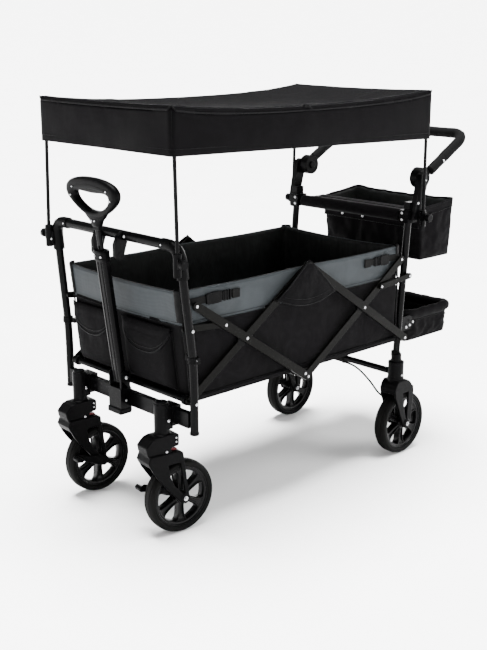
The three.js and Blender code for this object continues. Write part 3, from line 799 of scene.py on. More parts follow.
def add_grip():
    """The loop grip: rounded sections between an outer and an inner outline, and a rounded neck."""
    outer = bezier_path((0, 436), ((16, 438), (34, 440), (60, 455)), ((92, 474), (108, 488), (108, 503)),
                        ((108, 530), (60, 541), (0, 541)))
    inner = bezier_path((0, 454), ((22, 454), (36, 459), (50, 467)), ((66, 476), (72, 485), (70, 494)),
                        ((66, 508), (34, 500), (0, 500)))
    loop_out, loop_in = (half + [Vector((-p.x, p.y)) for p in reversed(half[1:-1])] for half in (outer, inner))
    grip, inset = Mould(handle_turn()), Mould(handle_turn())
    rings = []
    for out, inn in zip(loop_out, loop_in):
        middle, half = (out + inn) / 2, (out - inn) / 2
        rings.append([(b, *(middle + half * a)) for a, b in oval(2, 25, 2.7, 22)])
    grip.rings(rings, True)
    grip.rings([[(x, y, s) for y, x in oval(width, depth, 2.6, 28)]
                for s, width, depth in ((413, 30, 18), (415, 33, 21), (422, 38, 23), (430, 52, 24.2),
                                        (438, 76, 24.4), (446, 92, 23), (453, 84, 17))])
    made = grip.make("pull_grip_moulding", PLASTIC, "pull_handle_slider")
    melt(made, 1.7, 6)
    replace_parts(made, "pull_handle_grip")
    top = [(-12.2, y, 519 - 0.0016 * y * y) for y in range(-66, 67, 6)]
    inset.sweep(top, lambda t: oval(11 - 3 * abs(2 * t - 1), 2.4, 2.4, 12), up=(1, 0, 0))
    inset.make("pull_grip_inset", SOFT_PLASTIC, "pull_handle_slider")


# ---- push handle
HUB_X, HUB_Z = 509, 860
FOAM_RADIUS = 15.6


def add_push_handle():
    """The hub discs' faces and the foam sleeve, a bar with two bent corners."""
    trim, sleeve = Mould(), Mould()
    for side in SIDES:
        trim.lathe((HUB_X, side * 243, HUB_Z), (0, side, 0),
                   [(-0.5, 30.6), (1.2, 29.6), (1.8, 26.5), (0.6, 25), (0.6, 15.5), (2.2, 14), (2.8, 4)], 48)
        trim.lathe((HUB_X, side * 214, HUB_Z), (0, -side, 0), [(-1, 31), (0.6, 30), (1.2, 26), (0.4, 24)], 48)
    trim.make("push_hub_faces", PLASTIC, "push_handle", 0.5)
    corner, reach, bend = Vector((719, 0, 977)), Vector((0.873, 0, 0.487)), 46
    half = [corner + reach * (-134 + (134 - bend) * k / 6) + Vector((0, -240, 0)) for k in range(6)]
    middle = corner - reach * bend + Vector((0, -240 + bend, 0))
    for k in range(10):
        angle = math.pi / 2 * k / 9
        half.append(middle + Vector((0, -bend, 0)) * math.cos(angle) + reach * bend * math.sin(angle))
    half += [corner + Vector((0, y, 0)) for y in range(-180, 1, 30)]
    path = half + [Vector((p.x, -p.y, p.z)) for p in reversed(half[:-1])]
    route = smooth_route(path, 4)

    def section(t):
        swell = FOAM_RADIUS + 0.25 * math.sin(t * len(route) * 1.7) + 0.25 * math.sin(t * 61)
        ends = min(t, 1 - t)
        return circle(swell - 1.2 * math.exp(-((ends / 0.004) ** 2)), 28)

    sleeve.sweep(route, section, up=(-0.487, 0, 0.873))
    sleeve.make("push_bar_foam", FOAM, "push_handle")


# ---- bin
BIN_X, BIN_Y, BIN_FLOOR, BIN_RIM = 414.0, 238.0, 369.0, 664.0
BAND_LOW = 576.0
LINING_LOW = 392.0
FRONT_FLARE, FLARE_START, FLARE_RUN = 35.0, 290, 110  # how far the front wall leans, from where, over what


def soft_on_fold(piece):
    """Gives a piece its own copy of its mesh data."""
    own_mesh(piece)


def rim_height(x, y):
    """The rim dips a little between its corners and the scissor peaks."""
    along = abs(x) / BIN_X
    across = abs(y) / BIN_Y
    dip_side = 5.0 * math.sin(math.pi * min(1.0, along)) ** 2
    dip_end = 7.0 * (1 - across ** 2) if along > 0.96 else 0.0
    return -dip_side * (0.5 if across > 0.9 else 0) - dip_end


def lean(place):
    """The bin's front wall leans forward towards the rim."""
    share = max(0.0, min(1.0, (place.z - BIN_FLOOR) / (BIN_RIM - BIN_FLOOR)))
    near = max(0.0, min(1.0, (-place.x - FLARE_START) / FLARE_RUN))
    return place - Vector((FRONT_FLARE * share * near * near * (3 - 2 * near), 0, 0))


def leaning():
    return Mould(warp=lean)


def add_bin():
    ring, _ = perimeter(BIN_X - 2, BIN_Y - 2, 16, 9)

    def shell(x, y, nx, ny, distance, z):
        up = (z - BIN_FLOOR) / (BIN_RIM - BIN_FLOOR)
        fade = min(1.0, (z - BIN_FLOOR) / 25)
        out = 1.4 * math.sin(math.pi * up) + fade * 2.2 * wrinkle(x, y, z * 0.6, 120)
        out += fade * 1.1 * max(0, ridge(x * 0.7 + z * 0.7, y, z, 60, 2.0))
        return min(out, 5.0), z + (rim_height(x, y) if z > 560 else 0)

    body = leaning()
    wall(body, ring, rows_between(BIN_FLOOR + 2, BAND_LOW + 6, 26), shell)
    shell_cloth = body.make("bin_shell", BLACK_CLOTH, thick=1.4, offset=-1, slot="grey_cloth")
    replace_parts(shell_cloth, "bin")

    band_ring, _ = perimeter(BIN_X - 0.5, BIN_Y - 0.5, 15, 7)

    def band(x, y, nx, ny, distance, z):
        up = (z - BAND_LOW) / (BIN_RIM - BAND_LOW)
        near_corner = math.exp(-((BIN_X - abs(x)) / 120) ** 2) if abs(ny) > 0.5 else 0.0
        pucker = (ridge(x * 0.8, y, z * 1.6, 26, 5.0) - 0.7) * 5.5 * near_corner * min(1, 1.6 * up)
        out = 0.6 + 0.9 * wrinkle(x, y, z, 90, 1.0) + pucker + 1.2 * math.sin(math.pi * up)
        room = 2.2 if abs(ny) > 0.5 else 6.4
        return min(out, room) if out > 0 else max(out, -3.5), z + rim_height(x, y)

    grey = leaning()
    wall(grey, band_ring, rows_between(BAND_LOW, BIN_RIM - 2, 16), band)

    def fold_over(x, y, nx, ny, distance, turn):
        angle = math.radians(turn)
        out, _ = band(x, y, nx, ny, distance, BIN_RIM - 2)
        return out - 3.4 * (1 - math.cos(angle)), BIN_RIM - 2 + 3.4 * math.sin(angle) + rim_height(x, y)

    wall(grey, band_ring, [0, 30, 60, 90, 120], fold_over)
    grey_cloth = grey.make("bin_grey_band", GREY_CLOTH, thick=1.2, offset=-1)

    lining = leaning()
    inner_ring, _ = perimeter(BIN_X - 6.5, BIN_Y - 6.5, 14, 9)

    def inside(x, y, nx, ny, distance, z):
        up = (z - LINING_LOW) / (BIN_RIM - LINING_LOW)
        out = -1.5 - 3.0 * abs(wrinkle(x, y, z * 0.8, 100, 4.0)) * min(1, 2 * (1 - up) + 0.35)
        out -= 1.6 * max(0, ridge(x, y, z * 0.5, 70, 7.0)) * math.sin(math.pi * up)
        return out, z + rim_height(x, y) * max(0, up)

    wall(lining, inner_ring, rows_between(LINING_LOW - 12, BIN_RIM + 1, 26), inside)
    lining_cloth = lining.make("bin_lining_cloth", LINING, thick=1.2, offset=1)

    settle(lining_cloth, lambda x, y, z: z > BIN_RIM - 12 or z < LINING_LOW - 4
           or (abs(x) > BIN_X - 24 and abs(y) > BIN_Y - 24), 0.012, inward_only=True)

    floor = leaning()
    floor.patch(lambda u, v: ((2 * u - 1) * (BIN_X - 4), (2 * v - 1) * (BIN_Y - 4),
                              BIN_FLOOR + 2.5 - 1.5 * math.sin(math.pi * u) * math.sin(math.pi * v)), 40, 24)
    floor_cloth = floor.make("bin_underside", BLACK_CLOTH, thick=2.4)

    trim = leaning()
    for z, out, radius in ((BIN_FLOOR + 3, 1.0, 2.2), (BIN_FLOOR + 16, 1.8, 0.9), (BAND_LOW - 0.5, 3.2, 1.1),
                           (BAND_LOW + 8, 4.3, 0.55)):
        hem_ring, _ = perimeter(BIN_X + out - 1, BIN_Y + out - 1, 17, 12)
        hem = [(x, y, z + (rim_height(x, y) if z > 500 else 0)) for x, y, *_ in hem_ring]
        trim.sweep(hem, circle(radius, 8), closed=True)
    for sx, sy in CORNERS:
        x, y = sx * (BIN_X - 3.2), sy * (BIN_Y - 3.2)
        post = [(x + sx * 1.2 * math.sin(k), y, BIN_FLOOR + 4 + k * 22.4) for k in range(14)]
        trim.sweep(post, circle(2.7, 10), up=(1, 0, 0))
    trim_cloth = trim.make("bin_piping", PIPING)

    binding = leaning()
    low_ring, _ = perimeter(BIN_X + 0.4, BIN_Y + 0.4, 18, 12)
    wall(binding, low_ring, [BIN_FLOOR + 1, BIN_FLOOR + 5, BIN_FLOOR + 11, BIN_FLOOR + 15],
         lambda x, y, nx, ny, d, z: (1.3 + 0.4 * wrinkle(x, y, z, 40), z))
    binding_cloth = binding.make("bin_bottom_binding", CANOPY_CLOTH, thick=1.0)

    add_corner_caps()
    for made in (shell_cloth, grey_cloth, lining_cloth, floor_cloth, trim_cloth, binding_cloth):
        soft_on_fold(made)


def add_corner_caps():
    """Black cloth caps over the rim corners, where the arms' upper ends push the fabric up."""
    caps = leaning()
    for sx, sy in CORNERS:
        def cap(u, v, sx=sx, sy=sy):
            angle = math.radians(-14 + 118 * u)
            turn = math.pi * max(0.0, (v - 0.8) / 0.2)
            radius = 18.6 + 0.8 * wrinkle(sx * 40 * u, sy * 30, 500 * v, 30, 2.0) - 3.2 * (1 - math.cos(turn))
            x, y = BIN_X - 15.5 + radius * math.sin(angle), BIN_Y - 15.5 + radius * math.cos(angle)
            return sx * x, sy * y, 584 + 82 * min(1, v / 0.8) + 4.0 * math.sin(turn)

        caps.patch(cap, 14, 20)
    made = caps.make("bin_corner_caps", PIPING, thick=1.4)
    soft_on_fold(made)


PAD_HALF_WIDTH, PAD_LOW = 229, 375
PAD_SEAMS = (-406, -136, 136, 406)


def add_floor_pad():
    """Three padded boards side by side, each crowned between its seams."""
    pad = leaning()
    for x0, x1 in zip(PAD_SEAMS, PAD_SEAMS[1:]):
        for top in (True, False):
            def face(u, v, x0=x0, x1=x1, top=top):
                x, y = x0 + 2 + (x1 - x0 - 4) * u, (2 * v - 1) * PAD_HALF_WIDTH
                side_x, side_y = min(u, 1 - u) * (x1 - x0), min(v, 1 - v) * 2 * PAD_HALF_WIDTH
                crown = (1 - math.exp(-side_x / 9)) * (1 - math.exp(-side_y / 9))
                if not top:
                    return x, y, PAD_LOW - 0.2 * crown
                quilt = 0.8 * math.sin(u * math.pi * 3) ** 2
                return x, y, PAD_LOW + 1 + (14.6 + quilt + 0.5 * wrinkle(x, y, 0, 60)) * crown

            pad.patch(face, 30, 44)
    made = pad.make("floor_pad_boards", LINING)
    weld = made.modifiers.new("weld", "WELD")
    weld.merge_threshold = 1.6 * MM
    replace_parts(made, "floor_pad")
    soft_on_fold(made)


STRAP_Z = 634


def add_side_flaps():
    """A triangular flap over each scissor peak, and the webbing and buckles on the grey band."""
    flaps, piping, straps, buckles = (leaning() for _ in range(4))
    apex, left, right = Vector((0, 686)), Vector((-128, 592)), Vector((98, 585))
    for side in SIDES:
        def flap(u, v, side=side):
            here = apex.lerp(left, v).lerp(apex.lerp(right, v), u)
            out = 262.5 + 5.5 * math.sin(math.pi * u) * v + 1.6 * wrinkle(here.x, side * 30, here.y, 50, 6.0)
            return here.x, side * (out - 9 * (1 - v) ** 6), here.y - 24 * v ** 3 * math.sin(math.pi * u)

        flaps.patch(flap, 28, 26)
        for edge in (down(flap, 14, 0)[1:], down(flap, 14, 1)[1:], across(flap, 20, 1)):
            piping.sweep(edge, circle(1.8, 8), up=RIGHT)
        inner = [flap(0.06 + 0.88 * k / 20, 0.9) for k in range(21)]
        piping.sweep(shifted(inner, y=side * 0.9), circle(0.7, 6), up=RIGHT)
        for start, middle, end in ((-398, -312, -252), (252, 325, 408)):
            straps.sweep([(start, side * 241.2, STRAP_Z), (middle, side * 241.8, STRAP_Z + 1),
                          (end, side * 241.2, STRAP_Z)], oval(1.6, 19, 6, 12))
    for x in (-262, 262):
        straps.bricks(x - 13, x + 13, 241.6, 244.4, STRAP_Z - 12, STRAP_Z + 12)
    for socket, plug in ((-346, -308), (321, 289)):
        add_buckle(buckles, socket, plug)
    flap_cloth = flaps.make("peak_flaps", CANOPY_CLOTH, thick=1.3, outward=False)
    flap_piping = piping.make("peak_flap_piping", PIPING)
    strap_cloth = straps.make("band_webbing", WEBBING, bevel=0.5)
    clips = buckles.make("band_buckles", PLASTIC, bevel=1.0)
    for made in (flap_cloth, flap_piping, strap_cloth, clips):
        soft_on_fold(made)


def add_buckle(mould, socket, plug):
    """A side-release buckle on both sides: a socket with two side windows, and a plug with its strap bars."""
    def block(x0, x1, half, lift=0.0, at=0.0):
        mould.bricks(x0, x1, 240.4, 244.7 + lift, STRAP_Z + at - half, STRAP_Z + at + half)

    block(socket + 2, socket + 36, 15)
    block(socket - 2, socket + 3, 13, 0.3)
    for at in (-12.5, 12.5):
        block(socket + 12, socket + 28, 3.5, 0.4, at)
    block(plug + 1, plug + 20, 12, -0.9)
    for k in range(3):
        block(plug + 5 + 9 * k, plug + 9.5 + 9 * k, 14, 0.2)


# y from and to, z from and to
POCKETS = ((-192, 8, 392, 552), (46, 230, 390, 550))
POCKET_DEPTH, POCKET_LOW = 23, 392


def add_front_pockets():
    pockets, lids, cord = (leaning() for _ in range(3))
    wall_x = -BIN_X - 1.0
    for y0, y1, z0, z1 in POCKETS:
        def front(u, v, y0=y0, y1=y1, z0=z0, z1=z1):
            y, z = y0 + (y1 - y0) * u, z0 + (z1 - z0) * v
            side = min(u, 1 - u) * (y1 - y0)
            full = (1 - math.exp(-side / 10)) * (1 - math.exp(-(z - z0) / 12))
            full *= (1 - 0.28 * v) * (1 - 0.6 * v ** 10)
            x = wall_x - POCKET_DEPTH * full - 1.6 * full * wrinkle(0, y, z * 0.7, 42, 3.0)
            return max(x, wall_x - 26), y, z

        def lid(u, v, y0=y0, y1=y1, z1=z1, front=front):
            t = 2 * u - 1
            drop = 74 * (1 - abs(t) ** 2.4) ** 0.6 + 4
            y = (y0 + y1) / 2 + t * (y1 - y0) / 2 * (1.03 - 0.05 * v)
            z = z1 + 10 - drop * v
            base = front(u, min(0.9, max(0, (z - POCKET_LOW) / (z1 - POCKET_LOW))))[0]
            over = min(1.0, 3.2 * v + 0.12)
            base = wall_x - 3.2 + (base - wall_x + 3.2) * math.sin(0.5 * math.pi * over)
            return base - 2.6 - 2.0 * math.sin(math.pi * v * 0.9) * (1 - t * t), y, z

        pockets.patch(front, 30, 26)
        lids.patch(lid, 30, 16)
        for edge in (across(front, 20, 0.0), down(front, 16, 0.0), down(front, 16, 1.0)):
            cord.sweep(edge, circle(1.3, 6), up=(1, 0, 0))
        for inset, radius in ((1.0, 2.3), (0.84, 1.5)):
            line = [lid(0.01 + 0.98 * k / 30, inset) for k in range(31)]
            cord.sweep(shifted(line, x=-0.8), circle(radius, 6), up=(1, 0, 0))
    pocket_cloth = pockets.make("front_pockets", BLACK_CLOTH, thick=1.2, outward=False)
    lid_cloth = lids.make("front_pocket_lids", BLACK_CLOTH, thick=1.4, outward=False)
    cord_cloth = cord.make("front_pocket_piping", PIPING)
    for made in (pocket_cloth, lid_cloth, cord_cloth):
        soft_on_fold(made)


# ---- canopy
CANOPY_FRONT, CANOPY_REAR, CANOPY_Y = -495.0, 493.0, 275.0
CANOPY_LONG = CANOPY_REAR - CANOPY_FRONT
HEM_FRONT, HEM_REAR = 1003.5, 980.5
POLE_SKIN = 4.9
CORNER_Z = 1123.0
EDGE_ROUND = 13.0


def canopy_edge_drop(t, length):
    """How far the edge hangs below its corners, 0 to 1: steep beside the pole, then nearly level."""
    return 0.6 * (1 - math.exp(-min(t, 1 - t) * length / 100)) + 1.6 * t * (1 - t)


def round_corner(x, y, radius):
    """Moves a point of a rectangular sheet onto rounded corners."""
    cx = CANOPY_FRONT + radius if x < 0 else CANOPY_REAR - radius
    cy = math.copysign(CANOPY_Y - radius, y)
    dx, dy = x - cx, y - cy
    if dx * x <= 0 or dy * y <= 0:
        return x, y
    shrink = max(abs(dx), abs(dy)) / math.hypot(dx, dy)
    return cx + dx * shrink, cy + dy * shrink


def canopy_top(u, v):
    """The canopy's upper face, tight over the poles and slack between them."""
    x, y = round_corner(CANOPY_FRONT + CANOPY_LONG * u, (2 * v - 1) * CANOPY_Y, 11)
    rim = min(1.0, min(x - CANOPY_FRONT, CANOPY_REAR - x, CANOPY_Y - abs(y)) / EDGE_ROUND)
    shoulder = EDGE_ROUND * (1 - math.sqrt(max(0.0, 1 - (1 - rim) ** 2)))
    waist_long, waist_short = canopy_edge_drop(u, 980), canopy_edge_drop(v, 548)
    edge = 24 * waist_long + 4 * waist_short * (1 - waist_long)
    dish = 5 * waist_long * waist_short
    y *= 1 - 0.016 * waist_long
    x -= math.copysign(4.0 * waist_short, u - 0.5) * (abs(2 * u - 1) ** 6)
    corner = math.hypot(min(x - CANOPY_FRONT, CANOPY_REAR - x), CANOPY_Y - abs(y))
    rays = 4.6 * math.exp(-corner / 170) * math.sin(11 * math.atan2(y, x - math.copysign(330, x)))
    ripple = 2.0 * wrinkle(x, y, 0, 150, 8.0) + 2.2 * max(0, ridge(x * 0.5, y * 1.4, 0, 80, 3.0))
    soften = min(1.0, 8 * min(u, 1 - u)) * min(1.0, 6 * min(v, 1 - v))
    return x, y, CORNER_Z - edge - dish - shoulder + (rays + ripple) * soften


def hem_z(x):
    return HEM_FRONT + (HEM_REAR - HEM_FRONT) * (x - CANOPY_FRONT) / CANOPY_LONG


def add_canopy():
    cloth, tape, pull, teeth = (Mould() for _ in range(4))
    nu, nv, rows = 150, 88, 14
    cloth.patch(canopy_top, nu, nv)
    edges = [across(canopy_top, nu, 0), down(canopy_top, nv, 1), across(canopy_top, nu, 1)[::-1],
             down(canopy_top, nv, 0)[::-1]]
    normals = [(0, -1), (1, 0), (0, 1), (-1, 0)]
    loop = [(*place, *normal, index / (len(line) - 1))
            for line, normal in zip(edges, normals) for index, place in enumerate(line[:-1])]
    grid = []
    for j in range(rows + 1):
        v = j / rows
        ring = []
        for x, y, z, nx, ny, t in loop:
            bow = math.sin(math.pi * t)
            height = z + (hem_z(x) - z) * v
            out = bow * (1.0 + 4.0 * math.sin(math.pi * v)) + 1.2 * bow * wrinkle(x, y, height, 90, 9.0)
            out += 1.5 * bow * v * math.sin(x / 60.0 + y / 70.0)
            spread = 0.6 * v * (CANOPY_Y - abs(y)) if ny else 0.0
            ring.append((x + nx * out, y + ny * (out + spread), height))
        grid.append(ring)
    cloth.rings(grid, False, False)
    made = cloth.make("canopy_cloth", CANOPY_CLOTH)
    weld_mesh(made, 0.4)
    settle(made, lambda x, y, z: abs(y) > CANOPY_Y - 16 or not CANOPY_FRONT + 16 <= x <= CANOPY_REAR - 16,
           0.0016, 0.6)
    solid = made.modifiers.new("thickness", "SOLIDIFY")
    solid.thickness = 1.1 * MM
    solid.offset = 0.2
    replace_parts(made, "canopy")

    top = [(x + 0.7 * nx, y + 0.7 * ny, z + 1.0) for x, y, z, nx, ny, _ in loop]
    hem = shifted(grid[rows], z=0.8)
    stitch = [(x + nx * 0.9, y + ny * 0.9, z + 16)
              for (x, y, z), (_, _, _, nx, ny, _) in zip(grid[rows], loop)]
    for route, section in ((top, circle(1.9, 8)), (hem, circle(1.5, 8)), (stitch, circle(0.7, 6))):
        tape.sweep(route, section, closed=True)
    for sx, sy in CORNERS:
        x = CANOPY_FRONT if sx < 0 else CANOPY_REAR
        low, high = hem_z(x), CORNER_Z - 15
        seam = [(x - sx * 2.9, sy * (CANOPY_Y - 2.9), low + (high - low) * k / 8) for k in range(9)]
        tape.sweep(seam, circle(0.9, 8), up=(1, 0, 0))
    seams = tape.make("canopy_piping", PIPING)

    x, y, z = canopy_top((-35 - CANOPY_FRONT) / CANOPY_LONG, 0.014)
    pull.brick((x - 7, y - 5.5, z - 3), (x + 5, y + 1, z + 5), 1.0)
    pull.sweep([(x + 4, y - 4, z + 2), (x + 11, y - 6.5, z - 3), (x + 20, y - 7, z - 9)],
               oval(2.2, 6.5, 4, 12))
    puller = pull.make("canopy_zip_pull", SOFT_PLASTIC, bevel=0.7)
    line = [canopy_top(0.03 + 0.94 * k / 60, 0.026) for k in range(61)]
    teeth.sweep(shifted(line, z=1.3), oval(5.0, 1.8, 2.5, 8))
    zipper = teeth.make("canopy_zip", PLASTIC)
    for item in (made, seams, puller, zipper):
        soft_on_fold(item)


# ---- baskets
def basket(name, x0, x1, half_y, z0, z1, taper, sag, seed, rim_radius, crease, front_dip, corner):
    """A cloth basket with its lining, rim and seams, narrower at the bottom by the taper."""
    cx, hx = (x0 + x1) / 2, (x1 - x0) / 2
    outer_ring, around = perimeter(hx - 3, half_y - 3, corner, 8, cx)

    def height(x, y, v):
        share_x, share_y = abs(x - cx) / hx, abs(y) / half_y
        dip = sag * ((1 - share_y ** 2) * (share_x > 0.9) + 0.6 * (1 - share_x ** 2) * (share_y > 0.9))
        dip += front_dip * (0.5 - 0.5 * (x - cx) / hx) - 2.4 * wrinkle(x, y, 0, 45, seed)
        return z0 + (z1 - z0) * v - dip * v ** 2

    def shape(inset, amount):
        def made(x, y, nx, ny, distance, v):
            full = math.sin(math.pi * min(1, v + 0.05))
            out = -taper * (1 - v) - inset
            creases = 1.1 * wrinkle(x, y, 300 * v, 60, seed) + 0.8 * max(0, ridge(x, y, 130 * v, 42, seed))
            out += amount * full * creases
            if abs(ny) > 0.5:
                out -= 3.0 * crease * full * math.exp(-((x - x0 - 34) / 9) ** 2)
            out += crease * full * math.sin(distance / around * 2 * math.pi * 7 + seed)
            return min(out, 4.0 - inset), height(x, y, v)
        return made

    cloth = Mould()
    wall(cloth, outer_ring, rows_between(0, 1, 18), shape(0.0, 3.0))
    cloth.rings([[(cx + (x - nx * taper - cx) * k, (y - ny * taper) * k,
                   z0 + 1.5 + 4 * (1 - k) * abs(wrinkle(x * k, y * k, 0, 90, seed)))
                  for x, y, nx, ny, _ in outer_ring] for k in (1.0, 0.85, 0.65, 0.4, 0.15, 0.01)],
                False, False)
    made = cloth.make(f"{name}_cloth", BLACK_CLOTH, thick=1.3)
    settle(made, lambda x, y, z: z > z1 - 32 or z < z0 + 8
           or (abs(x - cx) > hx - 20 and abs(y) > half_y - 20), 0.02)
    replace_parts(made, name)
    inner, rim, thread = Mould(), Mould(), Mould()
    wall(inner, outer_ring, rows_between(0.06, 0.99, 14), shape(4.5, 3.4))
    inside = inner.make(f"{name}_lining", LINING, thick=1.0)

    def rim_section(t):
        return oval(rim_radius * 2 + 0.8 * math.sin(t * 160 + seed), rim_radius * 2.2, 2.2, 14)

    edge = [(x - nx * 2.0, y - ny * 2.0, height(x, y, 1) - rim_radius * 0.35)
            for x, y, nx, ny, _ in outer_ring]
    rim.sweep(edge, rim_section, closed=True)
    hem = [(x + nx * 0.6, y + ny * 0.6, height(x, y, 1) - 24) for x, y, nx, ny, _ in outer_ring]
    thread.sweep(hem, circle(0.9, 6), closed=True)
    base = [(x - nx * (taper - 0.3), y - ny * (taper - 0.3), z0 + 2) for x, y, nx, ny, _ in outer_ring]
    thread.sweep(base, circle(1.8, 8), closed=True)
    inset = 3 + corner * 0.293
    for sx, sy in CORNERS:
        high = height(cx + sx * hx, sy * half_y, 1) - rim_radius
        seam = []
        for share in (k / 8 for k in range(9)):
            back = inset + taper * (1 - share)
            seam.append((cx + sx * (hx - back), sy * (half_y - back), z0 + (high - z0) * share))
        thread.sweep(seam, circle(1.9, 8), up=(1, 0, 0))
    seams = thread.make(f"{name}_seams", PIPING)
    padding = rim.make(f"{name}_rim", BLACK_CLOTH)


def add_baskets():
    basket("upper_basket", x0=560, x1=728, half_y=207, z0=592, z1=775, taper=9, sag=7, seed=1.7,
           rim_radius=3.6, crease=1.6, front_dip=17, corner=12)
    basket("lower_basket", x0=486, x1=720, half_y=214, z0=342, z1=432, taper=5, sag=3, seed=4.2,
           rim_radius=14.5, crease=1.0, front_dip=0, corner=30)
    add_basket_front()


def add_basket_front():
    """The panel that wraps the rear cross bar and snaps to the front of the upper basket."""
    path = [(454, 731), (444, 740), (443, 752), (450, 763), (462, 766), (490, 761), (522, 758), (550, 759),
            (557.5, 754), (558, 738), (557, 716), (556.5, 694)]
    line = smooth_route([(x, 0, z) for x, z in path], 5)

    def surface(u, v):
        here = line[min(len(line) - 1, round(v * (len(line) - 1)))]
        y = (2 * u - 1) * (203 - 6 * v)
        slack = 2.2 * math.sin(math.pi * v) * wrinkle(y, 0, v * 240, 46, 5.5)
        return here.x - 0.4 * slack, y, here.z - max(0, slack) * (0.6 if v < 0.6 else 0.1)

    panel = Mould()
    panel.patch(surface, 60, len(line) - 1)
    cloth = panel.make("upper_basket_front_panel", BLACK_CLOTH, thick=1.3, outward=False)
    trim = Mould()
    trim.sweep(across(surface, 40, 1), circle(1.6, 8))
    trim.sweep(shifted(across(surface, 40, 0.52), z=1.0), circle(1.4, 8))
    trim.make("upper_basket_panel_piping", PIPING)
    studs = Mould()
    for y in (30, 117):
        dome(studs, (555.2, y, 706), FORWARD, 3.6, True)
    studs.make("upper_basket_studs", STEEL)


# ---- small trim
def add_pole_sleeves():
    """The canopy poles' plastic-coated outer skin."""
    for name, body, base, top in (("front", "front_frame", (-483, 275, 768), (-481, 264, 1109)),
                                  ("rear", "rear_frame", (479, 270, 768), (481, 265, 1107))):
        skin = Mould()
        for side in SIDES:
            a, b = (Vector((x, side * y, z)) for x, y, z in (base, top))
            skin.sweep([a + (b - a) * k / 12 for k in range(13)], circle(POLE_SKIN, 16), up=(1, 0, 0))
        skin.make(f"{name}_pole_skins", TUBE, body)


def add_trim():
    """Tube clips, caster housings, pole sockets, arm covers, caster brake pedals and column rings."""
    clips, housings, barrels, bolts, rings = (Mould() for _ in range(5))
    clips.bricks(-442, -426, 281, 289, 488, 503, 0.8)
    clips.bricks(-436, -424, 240, 258, 489, 502, 0.8)
    housings.bricks(-468, -444, 160.8, 201.2, 297, 360)
    housings.brick((-484, -29, 296), (-446, 29, 312))
    housings.bricks(-483.5, -466, 259, 270, 720, 756)
    domes(bolts, -462, 27.2, 334, 3.0)
    domes(bolts, -462, 30, 398, 4.2)
    for side in SIDES:
        clips.lathe((-435.2, side * 271.6, 487), UP, [(0, 11.4), (0, 14.2), (17, 14.2), (17, 11.4)], 32, True)
        clips.lathe((-434, side * 272, 296.5), UP, [(0, 9.2), (0.6, 12.2), (7, 12.4), (8, 11.5)], 32)
        clips.lathe((-430, side * 236, 380), RIGHT, [(-6, 8.6), (-6, 13), (6, 13), (6, 8.6)], 28, True)
        barrels.lathe((-467, side * 181, 0), UP, [(285.5, 18.4), (287, 19.8), (363, 19.8), (366.4, 18),
                                                  (366.6, 16.4), (371, 16.2), (372.5, 14.5)], 48)
        barrels.lathe((-483, side * 273.5, 0), UP, [(713, 8.5), (715, 10.4), (762, 10.4), (763.5, 11.4),
                                                    (771, 11.4), (773, 8)], 32)
        dome(bolts, (-483.5, side * 264.5, 734), FORWARD, 2.8)
        for face in SIDES:
            dome(bolts, (-459, side * 181 + face * 20.2, 322), (0, face, 0), 3.6)
        for profile in ([(242, 24.6), (244, 25.4), (252, 25.4), (254, 24.4)],
                        [(296, 24.2), (298, 25), (303, 24.4), (305, 20), (305, 14)]):
            rings.lathe((418, side * 238, 0), UP, profile, 40, True)
        rings.lathe((420.5, side * 232, 318), (0.06, 0, 1),
                    [(0, 12.4), (1, 14.2), (16, 14.2), (17, 12.4)], 32)
    clips.make("front_tube_clips", PLASTIC, "front_frame", 0.8)
    housings.make("caster_housing_blocks", PLASTIC, "front_frame", 3.0, 3)
    barrels.make("caster_housing_barrels", PLASTIC, "front_frame", 0.7)
    bolts.make("caster_housing_bolts", STEEL, "front_frame")
    for end, outline in (("front", [(-265, 497), (-246, 488), (-226, 514), (-246, 530), (-262, 524)]),
                         ("rear", [(206, 522), (226, 536), (246, 520), (226, 496), (212, 504)])):
        covers = Mould()
        covers.slabs(outline, 244.2, 252.7)
        covers.make(f"{end}_crossing_covers", PLASTIC, f"{end}_up_arms", 1.2)
    plate = [(58, 88), (64, 100), (56, 114), (40, 117), (-8, 127), (-33, 138), (-44, 136), (-46, 126),
             (-34, 120), (-6, 108), (34, 88), (48, 84)]
    tread = [(-30, 128), (-46, 137), (-53, 131), (-50, 122), (-34, 119)]
    for name, inner in (("left", 1), ("right", -1)):
        pedal = Mould(stem_place(f"front_wheel_{name}"))
        for outline, near, far in ((plate, 33.5, 39), (tread, 30, 56)):
            pedal.slab(outline, *sorted((inner * near, inner * far)))
        pedal.make(f"caster_brake_pedal_{name}", PLASTIC, f"caster_{name}", 1.6)
    rings.make("rear_column_rings", PLASTIC, bevel=0.6)


# ---- stage
FLOOR_SIDES = 96
FLAT_FLOOR = 14  # metres from the wagon to where the floor starts to rise towards the horizon
WORLD_STRENGTH = 0.65
KEY_POWER, OVERHEAD_POWER, OVERHEAD_SPREAD = 190, 23.0, 38


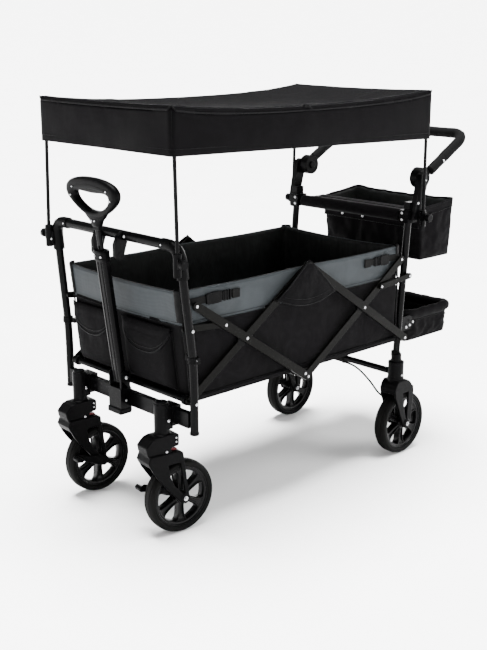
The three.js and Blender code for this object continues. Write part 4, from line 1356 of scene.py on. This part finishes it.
def add_light(name, kind, power, turn, **settings):
    data = bpy.data.lights.new(name, kind)
    data.energy = power
    for setting, value in settings.items():
        setattr(data, setting, value)
    light = show(name, data)
    light.rotation_euler = turn
    return light


def add_stage():
    """A white floor that rises gently far away, a white world, a key light and a wide light overhead."""
    mesh = bpy.data.meshes.new("floor")
    dish = [(2.0, 0.0), (6.0, 0.0), (FLAT_FLOOR, 0.0)]
    dish += [(FLAT_FLOOR + 2 * k, 0.011 * (2 * k) ** 2) for k in range(1, 14)]
    spots = [(x, y, z) for r, z in dish for x, y in circle(r, FLOOR_SIDES)]
    quads = []
    for row in range(len(dish) - 1):
        for k in range(FLOOR_SIDES):
            here, after = row * FLOOR_SIDES + k, row * FLOOR_SIDES + (k + 1) % FLOOR_SIDES
            quads.append((here, here + FLOOR_SIDES, after + FLOOR_SIDES, after))
    mesh.from_pydata(spots, [], quads + [tuple(range(FLOOR_SIDES))])
    shader = Shader("floor_paper")
    shader.colours(shader.noise(3.0), (0.90, 0.90, 0.90), (0.93, 0.93, 0.93))
    mesh.materials.append(shader.set(Roughness=0.9, Specular_IOR_Level=0.1))
    show("floor", mesh)

    world = bpy.data.worlds.new("studio")
    world.use_nodes = True
    background = world.node_tree.nodes["Background"]
    background.inputs["Color"].default_value = (1.0, 1.0, 1.0, 1)
    background.inputs["Strength"].default_value = WORLD_STRENGTH
    bpy.context.scene.world = world

    place, target = Vector((2.6, -2.6, 3.2)), Vector((0.0, 0.0, 0.4))
    aim = (target - place).to_track_quat("-Z", "Y").to_euler()
    add_light("key", "AREA", KEY_POWER, aim, shape="DISK", size=2.2).location = place
    add_light("overhead", "SUN", OVERHEAD_POWER, (math.radians(-6), math.radians(3), 0),
              angle=math.radians(OVERHEAD_SPREAD))


add_pull_handle()
add_upper_bar()
add_wheels()
add_forks()
add_push_handle()
add_bin()
add_floor_pad()
add_side_flaps()
add_front_pockets()
add_canopy()
add_baskets()
add_rivets()
add_pole_sleeves()
add_trim()
dress_cad_nodes()
add_stage()
